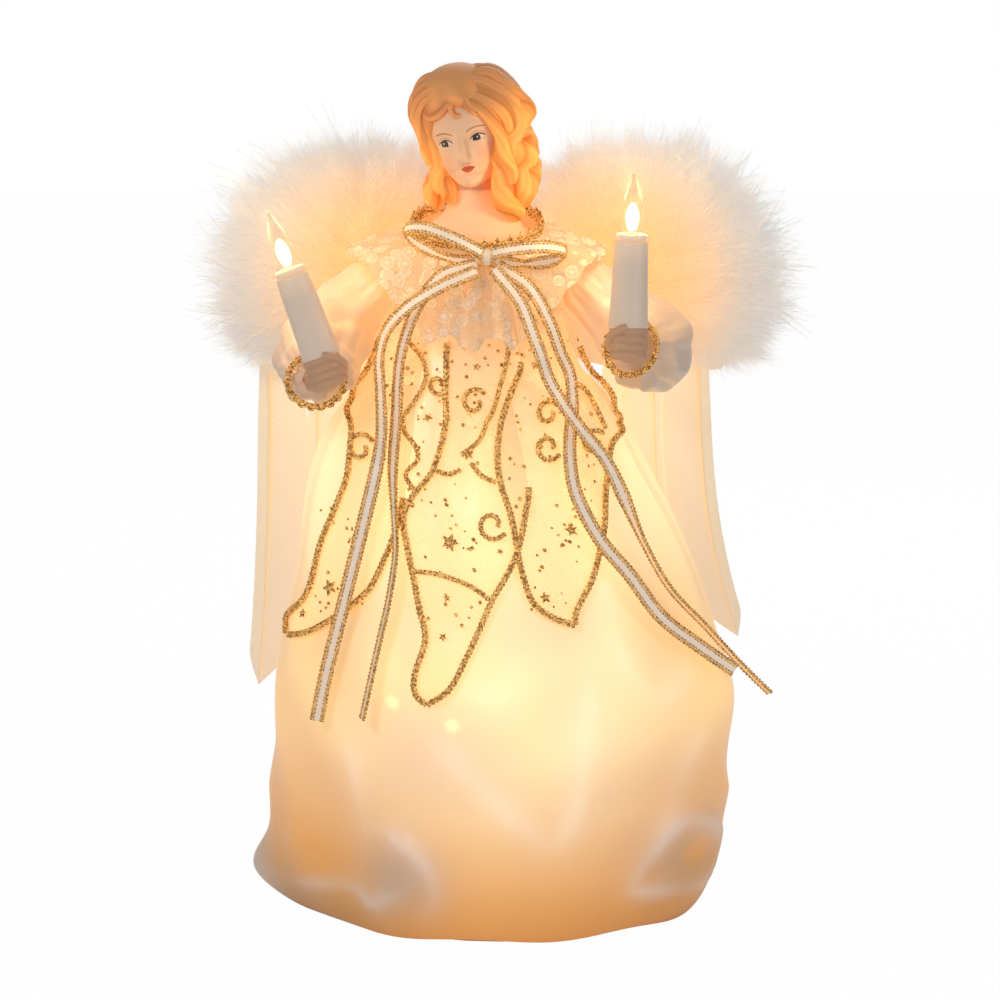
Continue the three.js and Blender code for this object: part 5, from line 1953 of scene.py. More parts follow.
@dataclass
class Head:
    """The painted head, its neck and its moulded hair.

    Attributes:
        colours: The materials.
        middle: The head's middle.
        half: Its half width, depth and height.
        pitch: How far it looks down.
        roll: How far it tips.
        yaw: How far it turns.
    """

    colours: Palette
    middle: Point = (-12.0, -6.0, 276.0)
    half: Point = (15.0, 16.5, 19.0)
    pitch: float = 10.0
    roll: float = -12.0
    yaw: float = -12.0

    # By the height on the head: the share of its half width, the share of its depth, and the nose's ridge.
    CHEEK = ((-19, 0.7), (-16.5, 0.74), (-11, 0.81), (-5, 0.91), (2, 0.96), (19, 1.0))
    PROFILE = ((-19, 1.7), (-16.5, 1.5), (-13, 1.2), (-10, 1.06), (-4, 0.955), (1, 0.945), (8, 1.0),
               (19, 1.0))
    NOSE = ((-8.4, 0.0), (-7.5, 2.0), (-6.5, 3.5), (-4.8, 2.8), (-1.2, 1.6), (2.6, 0.6), (5.4, 0.0))
    FACE_X = 1.2
    # Nostril wings, eye sockets, lids, brows, cheeks, both lips with their bow and parting, and the chin:
    # how far each stands out, its distance from the middle and half width, its height and half height.
    RELIEF = ((0.9, 1.9, 0.95, -6.9, 0.9), (-1.45, 5.4, 3.1, 0.4, 2.0), (1.15, 5.6, 2.3, 0.05, 1.35),
              (0.45, 5.2, 4, 4.2, 1.3), (0.7, 7.4, 3.8, -6.0, 3.6), (0.95, 0, 2.5, -8.9, 0.75),
              (-0.25, 0, 0.5, -8.0, 0.7), (1.05, 0, 2.1, -10.5, 0.8), (-0.55, 0, 2.6, -9.65, 0.32),
              (-0.7, 0, 3.4, -12.6, 1.0), (0.9, 0, 3.2, -15.6, 1.9))

    @property
    def turned(self) -> Matrix:
        """The head's place and turn."""
        turn = Matrix.Rotation(math.radians(self.roll), 4, "Y")
        turn @= Matrix.Rotation(math.radians(self.yaw), 4, "Z")
        turn @= Matrix.Rotation(math.radians(self.pitch), 4, "X")
        return Matrix.Translation(self.middle) @ turn

    def skull(self, u: float, v: float, out: float = 0.0) -> Vector:
        """Gives a place on the bare head, in its own frame.

        Args:
            u: The share around.
            v: The share up.
            out: How far off the skin.

        Returns:
            The place.
        """
        a = TAU * (u - 0.5)
        z = -self.half[2] * math.cos(math.pi * v)
        level = math.sin(math.pi * v)
        w = (self.half[0] * through(self.CHEEK, z) + out) * level
        front = (self.half[1] * through(self.PROFILE, z) + out) * level
        back = (self.half[1] + out) * level
        deep = front if math.cos(a) > 0 else back
        return Vector((w * math.sin(a), -deep * math.cos(a), z + out * -math.cos(math.pi * v)))

    def face(self, u: float, v: float) -> Vector:
        """Gives a place on the face, with its features.

        Args:
            u: The share around.
            v: The share up.

        Returns:
            The place.
        """
        at = self.skull(u, v)
        if at.y > 0:
            return at
        x, z = at.x - self.FACE_X, at.z
        side = abs(x)
        front = ease(-at.y, 4, 10)
        push = through(self.NOSE, z) * hill(x, mix(1.5, 2.0, ease(-z, 0, 6)))
        push += sum(
            high * hill(side - out, wide) * hill(z - up, tall) for high, out, wide, up, tall in self.RELIEF
        )
        at.y -= push * front
        return at

    def make(self) -> None:
        """Makes the head and the hair."""
        shape = Shape("face_right", "face_up", "glow")
        made = shape.grid(
            self.face,
            240,
            200,
            face_right=lambda u, v: self.skull(u, v).x - self.FACE_X if self.skull(u, v).y < 0 else 60,
            face_up=lambda u, v: self.skull(u, v).z,
        )
        shape.close(made)
        bmesh.ops.transform(shape.bm, matrix=self.turned, verts=shape.bm.verts)
        head = list(shape.bm.verts)
        rings = ((232, -8, -0.5, 19.5, 14.5), (240, -8, -1.0, 18.5, 13.5), (244, -8.2, -1.4, 15.5, 11.8),
                 (247.5, -8.6, -2.0, 11.2, 9.6), (251, -9.0, -2.6, 8.2, 7.9), (256, -9.8, -3.2, 7.2, 7.3),
                 (262, -10.8, -4.0, 7.3, 7.5), (268, -11.5, -4.6, 7.6, 7.8))

        def neck(u: float, v: float) -> Vector:
            """Lays out the neck and the shoulders under the dress.

            Args:
                u: The share around.
                v: The share up.

            Returns:
                The place.
            """
            z = mix(rings[0][0], rings[-1][0], v)
            x, y, wide, deep = (through([(r[0], r[i]) for r in rings], z) for i in (1, 2, 3, 4))
            return Vector((x + wide * math.sin(TAU * u), y - deep * math.cos(TAU * u), z))

        made = shape.grid(neck, 64, 60, face_right=lambda u, v: 60.0, face_up=lambda u, v: 60.0)
        shape.close(made)
        edges = [e for e in shape.bm.edges if e.is_boundary]
        bmesh.ops.holes_fill(shape.bm, edges=edges, sides=0)
        inside = self.turned.inverted()
        shape.mark("glow", head, lambda at: 0.04 + 0.24 * ease(-(inside @ at).z, -2, 18))
        shape.mark("glow", [v for v in shape.bm.verts if v.co.z < 256 and v not in set(head)], lambda at: 0.5)
        shape.piece("head_and_neck", self.colours.skin, "painted_casting", ["bust_and_head"])
        self.hair()

    # Each lock's route from the head's middle, then its radius at the root and at the end.
    LOCKS = (
        (
            ((2.7, -10.8, 15.3), (6.9, -11.7, 12.4), (10.8, -11.5, 8.5), (13.3, -10.6, 3.1),
             (14.3, -9.8, -2.5), (13.5, -9.6, -7.7), (12.6, -9.5, -13.4), (10, -9.5, -18.1),
             (10.6, -9.5, -23.3), (11.6, -8.5, -28.9), (11.4, -7.5, -33.2)),
            2.3, 4.6,
        ),
        (
            ((4.5, -8, 17.5), (11.3, -7.4, 13.7), (16.4, -7, 9.7), (19.4, -7, 4.6), (20.1, -7, -0.6),
             (17.3, -7, -5.1), (18, -7, -10.4), (16.5, -7, -15.2), (17.6, -7, -20), (15.8, -6.5, -25),
             (16.2, -6, -29.3)),
            2.8, 3.9,
        ),
        (
            ((3.2, -3, 17.6), (12.9, -3, 18.5), (17.6, -3, 14.2), (21.2, -3, 8.3), (23.6, -3, 3.2),
             (18.6, -3, -2.2), (18.4, -3, -6.5), (21.7, -3, -11.3), (18.1, -3, -15.8), (18.9, -3, -20.4),
             (18.3, -3, -24.5), (15.5, -3, -28)),
            3.2, 3.8,
        ),
        (
            ((3.2, 2, 17.8), (12.5, 3, 18.2), (17, 4, 13), (18.8, 4.5, 6), (15.2, 5, -2), (16.4, 5, -9),
             (17, 5, -16), (17, 5, -22), (14.5, 5, -27)),
            3.2, 4.2,
        ),
        (
            ((3, 8, 19.5), (11, 10, 16), (16, 11, 9), (16.5, 11, 0), (16.5, 11, -9), (15, 10.5, -18),
             (12, 10, -25)),
            3.2, 4.2,
        ),
        (
            ((1.3, -10.6, 16.1), (-3.6, -10.4, 16.2), (-8.6, -9.6, 14.8), (-11.4, -9.8, 11.2),
             (-11.7, -10.4, 7), (-11.7, -10.6, 3), (-11, -10.6, -2.2), (-9.6, -10.2, -7.4),
             (-10.2, -9.4, -12.3), (-8.8, -9, -17.2), (-11, -8.5, -21.5)),
            2, 3.6,
        ),
        (
            ((-0.5, -6.4, 19.2), (-7.1, -6, 19), (-12, -6, 16.2), (-13.8, -6, 12), (-13.8, -6, 7),
             (-12.8, -6.4, 2.4), (-11.2, -6.8, -3), (-9.8, -6.6, -7.6), (-12.2, -6.2, -11.4),
             (-14.8, -6, -15.3), (-14.4, -6, -20.1), (-15.7, -5.5, -23.5)),
            2.7, 3.8,
        ),
        (
            ((-3, 0, 21), (-10, 1, 19), (-13.6, 1.5, 13.5), (-13.6, 2, 6), (-11.6, 2, -2), (-9.6, 2, -8),
             (-12.6, 2, -15), (-12.8, 2, -22)),
            2.8, 3.8,
        ),
        (
            ((-3, 8, 19.5), (-10, 10, 16), (-12.4, 11, 9), (-11.6, 11, 0), (-9.8, 11, -8),
             (-11.4, 10.5, -16), (-10.5, 10, -23)),
            3, 4,
        ),
        (
            ((3.5, -9.6, 16.6), (9.2, -9.6, 13.2), (13.8, -9.2, 9.2), (16.8, -8.6, 4), (17.2, -8.4, -3)),
            2.2, 2.6,
        ),
        (
            ((4.4, -5.6, 19.4), (12.2, -5.2, 16.4), (17.2, -5, 12), (20.2, -4.8, 6.2), (18.4, -4.6, -1)),
            2.6, 3,
        ),
        (
            ((3.2, 0.5, 17.8), (12.4, 0.5, 18.8), (17.2, 0.8, 14), (20, 1, 7.6), (18.6, 1, 1.5)),
            3, 3.4,
        ),
        (
            ((0.6, -8.6, 17.8), (-5.4, -8.2, 17.8), (-10.8, -7.8, 15.6), (-13.4, -8, 11.2),
             (-13.8, -8.4, 5)),
            2.2, 2.2,
        ),
        (
            ((2.6, -11.4, 15.4), (-1.2, -13.2, 13.2), (-4.4, -13.8, 11), (-7.6, -13, 10.4),
             (-9.8, -11.4, 12.4)),
            1.5, 1.6,
        ),
        (
            ((1.6, -12.4, 14.4), (0.4, -14.2, 11.6), (1.4, -14.9, 9.4), (3.4, -14.6, 9.2)),
            1.2, 1.1,
        ),
        (
            ((12, -1, -3), (13.4, -2, -9), (13.2, -2.4, -15), (13.4, -2.4, -21), (12.4, -2, -27)),
            3, 4.2,
        ),
        (
            ((3.3, -11, 15), (5.5, -12.2, 12.8), (7, -13.2, 10.2), (9, -12.8, 8.2)),
            1.8, 1.3,
        ),
    )

    def hair(self) -> None:
        """Makes the hair: a close cap with soft waves, swoops over the forehead and hanging ringlets."""
        shape = Shape("low", "groove")

        def wave(u: float, v: float) -> float:
            """Gives how deep in a soft wave of the cap a place lies."""
            a = TAU * (u - 0.5)
            return (0.5 - 0.5 * math.cos(11 * a + 2.2 * math.sin(7 * v))) * (1 - ease(v, 0.68, 0.86))

        def cap(u: float, v: float) -> Vector:
            """Lays out the cap, which sinks under the skin where the face is bare.

            Args:
                u: The share around.
                v: The share up.

            Returns:
                The place.
            """
            a = math.degrees(TAU * (u - 0.5))
            z = -self.half[2] * math.cos(math.pi * v)
            line = mix(9.8, -30, ease(abs(a - 4), 30, 78)) + 1.2 * math.cos(math.radians(a * 4))
            cover = ease(z, line - 1.2, line + 3.0)
            proud = mix(0.4, 2.4, ease(z, -6, 8)) + 2.8 * ease(z, 8, 19) - 0.5 * wave(u, v)
            return self.skull(u, v, mix(-2.4, proud, cover))

        shape.close(shape.grid(cap, 180, 110, low=lambda u, v: 0.0, groove=lambda u, v: 0.6 * wave(u, v)))
        chance = random.Random(3)
        for points, first, last in self.LOCKS:
            self.lock(shape, Route(points), (first, last), chance)
        for turn in range(7):
            a = math.radians(mix(128, 232, turn / 6))
            points = []
            ends = (-24 - turn % 2 * 2, -0.5)
            for z, out in ((17, 1.5), (12, 2.4), (4, 2.2), (-4, 0.8), (-12, 1.2), (-18, 0.8), ends):
                level = math.sqrt(max(0.12, 1 - (z / 20) ** 2)) if z > -8 else 0.92
                bent = a + 0.07 * math.sin(z / 2)
                wide, deep = self.half[0] * level + out, self.half[1] * level + out
                points.append((wide * math.sin(bent), -deep * math.cos(bent), z))
            self.lock(shape, Route(points), (3.6, 4.3), chance)
        # How low on the head a place is: the hair there is painted more golden and glowing, as warm lamp
        # light.
        shape.mark("low", shape.bm.verts, lambda at: 0.06 + 0.94 * ease(-at.z + 0.45 * abs(at.x), -9, 8))
        bmesh.ops.transform(shape.bm, matrix=self.turned, verts=shape.bm.verts)
        shape.piece("moulded_hair", self.colours.hair, "painted_casting", ["bust_and_head"])

    def lock(self, shape: Shape, route: Route, sizes: Flat, chance: random.Random) -> None:
        """Adds one lock, which winds into a soft ringlet where it hangs.

        Args:
            shape: The hair.
            route: The lock's middle.
            sizes: Its radius at the root and lower down.
            chance: The random source.
        """
        phase = chance.uniform(0, TAU)
        way = chance.choice((-1, 1))
        length = route.length
        hang = through([(0.0, 0.0), (22.0, 0.25), (200.0, 13.6)], length) if length > 30 else 0.0

        def wound(along: float) -> float:
            """Gives how many turns the lock has made."""
            return way * hang * max(0.0, along - 0.25) ** 1.3

        def groove(around: float, along: float) -> float:
            """Gives how deep between two strands a place lies.

            Args:
                around: The share around the section.
                along: The share along the route.

            Returns:
                The depth, from 0 to 1.
            """
            turn = around + wound(along)
            coarse = 0.5 - 0.5 * math.cos(TAU * 2 * turn + phase)
            fine = 0.5 - 0.5 * math.cos(TAU * 7 * turn + phase + 3 * along)
            return 0.7 * coarse**2 + 0.3 * fine

        def section(around: float, along: float) -> Flat:
            """Gives one offset of the lock's section.

            Args:
                around: The share around the section.
                along: The share along the route.

            Returns:
                The offset.
            """
            ends = math.sqrt(max(0.02, 1 - (2 * along - 1) ** (8 if length > 30 else 4)))
            size = mix(sizes[0], sizes[1], ease(along, 0.25, 0.7)) * ends
            r = size * (1.08 - 0.30 * groove(around, along))
            swing = 0.26 * size * ease(along, 0.35, 0.6) * (1 if length > 30 else 0)
            spin, a = TAU * 2 * wound(along) + phase, TAU * around
            return r * math.cos(a) + swing * math.cos(spin), r * math.sin(a) + swing * math.sin(spin)

        shape.sweep(route, section, 72, 40, groove=groove, low=lambda u, v: 0.0)


@dataclass
class Arm:
    """One arm: its sleeve, hand, cuff and candle.

    Attributes:
        side: Which arm.
        colours: The materials.
        shoulder: Where the sleeve starts.
        elbow: Where it bends.
        wrist: Where it ends.
        foot: Where the candle stands.
        lean: How far the candle leans to the viewer's right, in degrees.
    """

    side: Side
    colours: Palette
    shoulder: Point
    elbow: Point
    wrist: Point
    foot: Point
    lean: float

    # The sleeve's radius by the share of its length.
    RADII = ((0, 10.5), (0.14, 10.5), (0.3, 12.3), (0.5, 14.55), (0.68, 15.0), (0.84, 12.9), (0.93, 8.2),
             (0.975, 7.8), (1, 4.4))

    @property
    def body(self) -> Body:
        """What the arm's pieces move with."""
        return Body.LEFT_ARM if self.side is Side.LEFT else Body.RIGHT_ARM

    @property
    def bulb_body(self) -> Body:
        """What the candle's bulb moves with."""
        return Body.LEFT_BULB if self.side is Side.LEFT else Body.RIGHT_BULB

    @property
    def stand(self) -> Matrix:
        """The candle's place and lean."""
        return Matrix.Translation(self.foot) @ Matrix.Rotation(math.radians(self.lean), 4, "Y")

    def name(self, piece: str) -> str:
        """Names a piece of this arm."""
        return f"{self.side.word}_{piece}"

    def bend(self) -> Route:
        """Lays out the sleeve's middle."""
        a, b, c = (Vector(p) for p in (self.shoulder, self.elbow, self.wrist))
        return Route([tuple(a.lerp(b, t).lerp(b.lerp(c, t), t)) for t in (i / 14 for i in range(15))])

    def make(self) -> None:
        """Makes the arm's pieces."""
        self.sleeve()
        self.hand()
        self.candle()

    @staticmethod
    def crumple(a: float, along: float) -> float:
        """Gives the relief of the sleeve's gathers and puckers, as a share of its radius.

        Args:
            a: The angle around the sleeve.
            along: The share along it.

        Returns:
            The relief.
        """
        gathers = 0.065 * math.cos(7 * a + 0.9 * math.sin(5 * along))
        fine = 0.03 * math.cos(17 * a + 4 * along) * (ease(along, 0.6, 0.9) + 1 - ease(along, 0.05, 0.3))
        rise = ease(along, 0.15, 0.4) * (1 - ease(along, 0.82, 0.96))
        puckers = 0.06 * math.sin(3 * a + 15 * along + 1.5 * math.sin(2 * a)) * rise
        return gathers + fine + puckers

    def sleeve(self) -> None:
        """Makes the puffed sleeve."""
        shape = Shape("glow", "warm")
        route = self.bend()

        def section(around: float, along: float) -> Flat:
            """Gives the sleeve's section, with gathers at both ends.

            Args:
                around: The share around the section.
                along: The share along the route.

            Returns:
                The offset.
            """
            a = TAU * around
            r = through(self.RADII, along)
            head = math.sqrt(max(0.0, 1 - (1 - along / 0.1) ** 2)) if along < 0.1 else 1.0
            r *= head * (1 + 0.9 * self.crumple(a, along)) * mix(0.9, 1, ease(along, 0, 0.25))
            return r * math.cos(a), r * math.sin(a)

        shape.sweep(route, section, 120, 130, capped=False)
        candle = Vector(self.foot) + Vector((0, 0, 40))
        lit = 1.6 if self.side is Side.LEFT else 1.25

        def glow(at: Vector) -> float:
            """Gives the candle's and the body lamps' light on the sleeve."""
            near = 0.22 * hill((at - candle).length, 46)
            return lit * (near + 0.26 * hill(at.x + 8, 52) * ease(at.z, 188, 222))

        shape.mark("glow", shape.bm.verts, glow)
        # A quarter of the painted lamp warmth in the colour, all over.
        shape.mark("warm", shape.bm.verts, lambda at: 0.25)
        name, nodes = self.name("sleeve_cloth"), [self.name("sleeve")]
        obj = shape.piece(name, self.colours.sleeve, "satin", nodes, thick=0.5, body=self.body)
        self.name("arm_wire")
        self.cuff(route.along(1.0))

    def cuff(self, ahead: Vector) -> None:
        """Makes the gold gimp round the sleeve's end: a twisted cord and a looped edge.

        Args:
            ahead: Which way the sleeve's end points.
        """
        shape = Shape()
        place = Matrix.Translation(self.wrist) @ ahead.to_track_quat("Z", "Y").to_matrix().to_4x4()

        def on(a: float, r: float, up: float) -> Point:
            """Gives a place round the wrist."""
            return tuple(place @ Vector((r * math.cos(a), r * math.sin(a), up)))

        cord = Route([on(TAU * i / 40, 9.6, 0) for i in range(41)], 4)
        shape.sweep(cord, twisted_section(1.25, cord.length / 3.2), 150, 10)
        turns = [TAU * i / 180 for i in range(181)]
        edge = Route([on(a + 0.05 * math.sin(18 * a), 9.8 + 0.9 * math.cos(18 * a), 1.1) for a in turns], 1)
        shape.sweep(edge, twisted_section(0.55, edge.length / 2), 300, 6)
        nodes = [self.name("cuff_braid")]
        shape.piece(self.name("cuff_gimp"), self.colours.gold, "gold_braid", nodes, body=self.body)

    def hand(self) -> None:
        """Makes the closed hand that holds the candle."""
        shape = Shape()
        stand = self.stand
        shape.ball(stand @ Matrix.Translation((0, 0.6, -7.2)) @ Matrix.Diagonal((5.7, 5.4, 5.8, 1)), 32)
        for i in range(4):
            z = -2.4 - i * 2.8
            knuckle = ((-5.6, 1.6, z - 0.3), (-5.2, -3.2, z), (-2.0, -5.9, z + 0.2), (2.4, -5.6, z + 0.1),
                       (4.9, -2.8, z - 0.1), (4.6, 0.6, z - 0.2))
            route = Route([tuple(stand @ Vector((self.side.value * -x, y, z))) for x, y, z in knuckle])
            shape.sweep(route, round_section(lambda s: 1.5 - 0.25 * s), 24, 12)
        thumb = ((4.6, 1.0, -9.0), (5.9, -1.6, -6.4), (5.0, -4.6, -3.6), (2.6, -6.4, -1.6),
                 (0.6, -6.6, -0.8))
        route = Route([tuple(stand @ Vector((self.side.value * -x, y, z))) for x, y, z in thumb])
        shape.sweep(route, round_section(lambda s: 1.95 - 0.45 * s), 24, 12)
        palm = Vector(self.wrist).lerp(stand @ Vector((0, 2, -9)), 0.6)
        wrist = Route([self.wrist, tuple(palm), tuple(stand @ Vector((0, 0.5, -8)))])
        shape.sweep(wrist, round_section(lambda s: mix(4.6, 5.2, s)), 16, 20)
        nodes = [self.name("hand")]
        obj = shape.piece(self.name("hand_cast"), self.colours.hand, "painted_casting", nodes, body=self.body)
        blend = obj.modifiers.new("cast", "REMESH")
        blend.mode = "VOXEL"
        blend.voxel_size = 0.0003
        soften = obj.modifiers.new("soften", "SMOOTH")
        soften.iterations = 2

    def turned(
        self, piece: str, profile: Sequence[Flat], sides: int, hot: Callable[[float], float], node: str
    ) -> None:
        """Makes one turned piece of the candle.

        Args:
            piece: Its name.
            profile: Radius and height pairs.
            sides: Steps around.
            hot: Gives how brightly it is lit at a height.
            node: The CAD node it stands for.
        """
        finish = {"bulb": self.colours.glass, "bulb_heart": self.colours.heart}.get(piece, self.colours.tube)
        pulls = node == "candle_bulb"
        body, slot = (self.bulb_body, "bulb_glass") if pulls else (self.body, "candle_plastic")
        shape = Shape("hot")
        back = self.stand.inverted()
        made = shape.lathe(profile, self.stand, sides)
        shape.mark("hot", made, lambda at: hot((back @ at).z))
        shape.piece(self.name(piece), finish, slot, [self.name(node)], body=body)

    def candle(self) -> None:
        """Makes the candle tube, its lamp cup and its bulb."""
        tube = ((0, -1.8), (2.6, -1.9), (5.9, -1.9), (6.6, -1.6), (6.9, -0.9), (6.75, 1.0), (6.5, 4),
                (6.2, 12), (5.95, 20), (5.75, 26.6), (5.55, 27.5), (5.1, 27.95), (4.4, 28.0), (4.1, 27.5),
                (4.0, 20), (0, 19.8))
        cup = ((2.9, 27.2), (3.6, 27.2), (3.7, 28.25), (5.1, 28.25), (5.45, 28.6), (5.45, 29.6),
               (5.1, 30.3), (4.4, 30.5), (3.1, 30.4), (2.9, 29.8), (2.9, 27.2))
        plug = ((0, 21.8), (1.9, 21.8), (2.3, 22.3), (2.3, 24.6), (2.6, 24.9), (2.6, 30.0), (2.35, 30.75),
                (0, 30.8))
        glass = ((0, 30.7), (2.2, 30.75), (2.5, 31.4), (2.9, 32.6), (3.2, 34.5), (3.25, 37), (3.15, 40),
                 (2.85, 42.6), (2.3, 44.8), (1.65, 46.6), (1.05, 48.2), (0.75, 49.4), (0.6, 50.3),
                 (0.3, 50.75), (0, 50.8))
        heart = ((0, 31.2), (1.3, 31.6), (1.9, 33.0), (2.3, 35.2), (2.2, 37.4), (1.5, 39.4), (0.6, 40.6),
                 (0, 40.9))
        self.turned("candle", tube, 56, lambda z: 0.5 * ease(z, 19, 29) ** 2, "candle_tube")
        self.turned("cup", cup, 56, lambda z: 0.7, "lamp_cup")
        self.turned("bulb_plug", plug, 32, lambda z: ease(z, 22, 31), "candle_bulb")
        self.turned("bulb", glass, 36, lambda z: 1 - ease(z, 36, 42), "candle_bulb")
        self.turned("bulb_heart", heart, 28, lambda z: 1 - ease(abs(z - 35.5), 2.5, 6), "candle_bulb")

    def shine(self) -> Vector:
        """Gives where the candle's light comes from."""
        return self.stand @ Vector((0, 13, 45))


@dataclass
class Wing:
    """One wing: its marabou and three goose feathers.

    Attributes:
        side: Which wing.
        colours: The materials.
        lamps: Where the light on it comes from.
        feathers: Each feather's name, place along the wing, length, half width, bend and lift.
        board_y: How far back the board is.
        board_half: The half width of its straight middle.
        sweep: How far the wing is swept back.
        tufts: How many tufts of down each part has.
        feather_top: The height that the feathers hang from.
    """

    side: Side
    colours: Palette
    lamps: Sequence[Vector]
    feathers: tuple[tuple[str, float, float, float, float, float], ...]
    board_y: float = 25.32
    board_half: float = 14.0
    sweep: float = math.radians(15)
    tufts: int = 2300
    feather_top: float = 194.0

    # The trim's line over the wing, under it and beside the neck, as distance along, height and radius.
    ROUTE = ((3, 256, 10), (25, 258, 17), (49, 253, 20), (65, 236, 21), (72, 212, 20), (72, 196, 14))
    UNDER = ((60, 194, 11), (46, 196, 10))
    NECK = ((-4, 232, 9), (-3, 246, 9))
    # What the down fans out from, as distance along and height.
    HEART = (30.0, 214.0)
    # The oval of board that the down stays in front of: its middle, half width and half height.
    LOBE = (32.0, 221.0, 44.0, 33.0)

    def on(self, u: float, v: float, z: float) -> Vector:
        """Gives a place by the distance along the wing, off its face and up.

        Args:
            u: The distance along.
            v: The distance behind its face.
            z: The height.

        Returns:
            The place.
        """
        x = self.board_half + u * math.cos(self.sweep) - v * math.sin(self.sweep)
        y = self.board_y + u * math.sin(self.sweep) + v * math.cos(self.sweep)
        return Vector((self.side.value * x, y, z))

    def in_front(self, at: Vector) -> Vector:
        """Gives a place again, brought to the board's face where it lies behind the board.

        Args:
            at: The place.

        Returns:
            The place, in front of the board.
        """
        out, back = self.side.value * at.x - self.board_half, at.y - self.board_y
        u = out * math.cos(self.sweep) + back * math.sin(self.sweep)
        v = back * math.cos(self.sweep) - out * math.sin(self.sweep)
        lobe_u, lobe_z, wide, tall = self.LOBE
        covered = math.hypot((u - lobe_u) / wide, (at.z - lobe_z) / tall) < 1
        return self.on(u, min(v, -0.3), at.z) if covered else at

    def warmth(self, at: Vector) -> float:
        """Gives how much lamp light reaches a place.

        Args:
            at: The place.

        Returns:
            The light, from 0 to 1.
        """
        near = max(hill((at - lamp).length, 40) for lamp in self.lamps)
        heart = self.on(self.HEART[0] - 4, 0, self.HEART[1] + 6)
        inner = 1 - ease(math.hypot(at.x - heart.x, at.z - heart.z), 14, 56)
        return min(1.0, 0.35 * near + 0.85 * inner)

    def tuft(self, chance: random.Random) -> bpy.types.Mesh:
        """Makes one small tuft of barbs, 1 high, to be repeated.

        Args:
            chance: The random source.

        Returns:
            The tuft's mesh.
        """
        shape = Shape("warm", "shade")
        dim = chance.uniform(0.0, 0.42)
        sway = Vector((chance.uniform(-0.34, 0.34), chance.uniform(-0.34, 0.34), 0))
        for i in range(10):
            way = chance.uniform(0, TAU)
            apart = chance.uniform(0.05, 0.26)
            meet = chance.uniform(0.05, 0.4) if i < 7 else chance.uniform(1.0, 1.7)
            tall = chance.uniform(0.62, 1.0)
            stray = Vector((chance.uniform(-0.1, 0.1), chance.uniform(-0.1, 0.1), 0))
            across = Vector((-math.sin(way + chance.uniform(-1, 1)), math.cos(way), 0))

            def place(u: float, v: float) -> Vector:
                """Lays out one barb.

                Args:
                    u: The share across.
                    v: The share up.

                Returns:
                    The place.
                """
                aside = apart * (0.25 + 0.75 * math.sin(math.pi * min(1, v * 1.2) * 0.5))
                aside *= mix(1, meet, v * v)
                middle = Vector((math.cos(way) * aside, math.sin(way) * aside, tall * v))
                return middle + (sway + stray) * v * v + across * (u - 0.5) * mix(0.015, 0.003, v)

            # Some tufts are darker at random, and each is darkest at its root, as painted shade deep in the
            # down.
            shape.grid(place, 1, 4, shade=lambda u, v: dim * (1 - 0.6 * v))
        mesh = bpy.data.meshes.new("tuft")
        shape.bm.to_mesh(mesh)
        shape.bm.free()
        return mesh

    def marabou(self) -> None:
        """Makes the marabou: a soft core and thousands of barbs."""
        chance = random.Random(11 + self.side.value)
        depth = 0.62
        middle = Route([tuple(self.on(u, -0.4 - r * depth, z)) for u, z, r in self.ROUTE])
        sizes = [(i / 5, r) for i, (_, _, r) in enumerate(self.ROUTE)]
        flat_out = self.on(0, -1, 0) - self.on(0, 0, 0)
        core = Shape("warm", "shade")

        def section(around: float, along: float) -> Flat:
            """Gives the soft core's section.

            Args:
                around: The share around the section.
                along: The share along the route.

            Returns:
                The offset.
            """
            a = TAU * around
            ends = math.sqrt(max(0.0, 1 - (2 * along - 1) ** 4))
            lumps = 1 + 0.05 * math.sin(5 * a + 22 * along) + 0.04 * math.sin(9 * a - 31 * along)
            r = 0.5 * through(sizes, along) * ends * lumps
            return r * math.cos(a), depth * r * math.sin(a)

        core.sweep(middle, section, 70, 40, lambda at, share: flat_out)
        core.mark("warm", core.bm.verts, self.warmth)
        node = self.side.word + "_marabou"
        core.piece(node + "_core", self.colours.down, "marabou", [node])
        for word, share in (("outer", (0.62, 1.0)), ("inner", (0.0, 0.72))):
            self.fluff(word, share, chance)

    def fluff(self, word: str, share: Flat, chance: random.Random) -> None:
        """Makes barbs that fan out from the wing's middle.

        Args:
            word: Which part of the fan.
            share: From where to where they root, between the middle and the trim's line.
            chance: The random source.
        """
        line = Route([(u, z, r) for u, z, r in (*self.NECK, *self.ROUTE, *self.UNDER)])
        fluff = Shape("warm", "shade")
        kinds = [self.tuft(chance) for _ in range(9)]
        heart_u, heart_z = self.HEART
        for i in range(self.tufts):
            edge = line.at(chance.random())
            far = mix(share[0], share[1], chance.random() ** 0.7)
            root_u = mix(heart_u, edge.x, far)
            root_z = mix(heart_z, edge.y, far)
            size = edge.z
            thick = mix(5.0, 0.62 * size, far)
            off = chance.uniform(0.25, 1.75) * thick
            turn = math.atan2(edge.y - heart_z, edge.x - heart_u) + chance.gauss(0, 0.30)
            tall = size * chance.uniform(0.85, 1.42) * mix(0.85, 1.0, far)
            tall *= mix(0.8, 1.0, ease(edge.y, 200, 240))
            if chance.random() < 0.10:
                tall *= 1.18
            front = (off / thick - 1) * 0.75 + chance.uniform(-0.1, 0.45)
            if far < 0.92:
                front = max(front, (0.8 - off) / tall)
            reach = self.on(math.cos(turn), -front, math.sin(turn)) - self.on(0, 0, 0)
            turned = reach.normalized().to_track_quat("Z", "Y").to_matrix().to_4x4()
            turned @= Matrix.Rotation(chance.uniform(0, TAU), 4, "Z")
            placed = Matrix.Translation(self.on(root_u, -0.5 - off, root_z)) @ turned
            mesh = kinds[i % len(kinds)].copy()
            mesh.transform(placed @ Matrix.Diagonal((tall, tall, tall, 1)))
            fluff.bm.from_mesh(mesh)
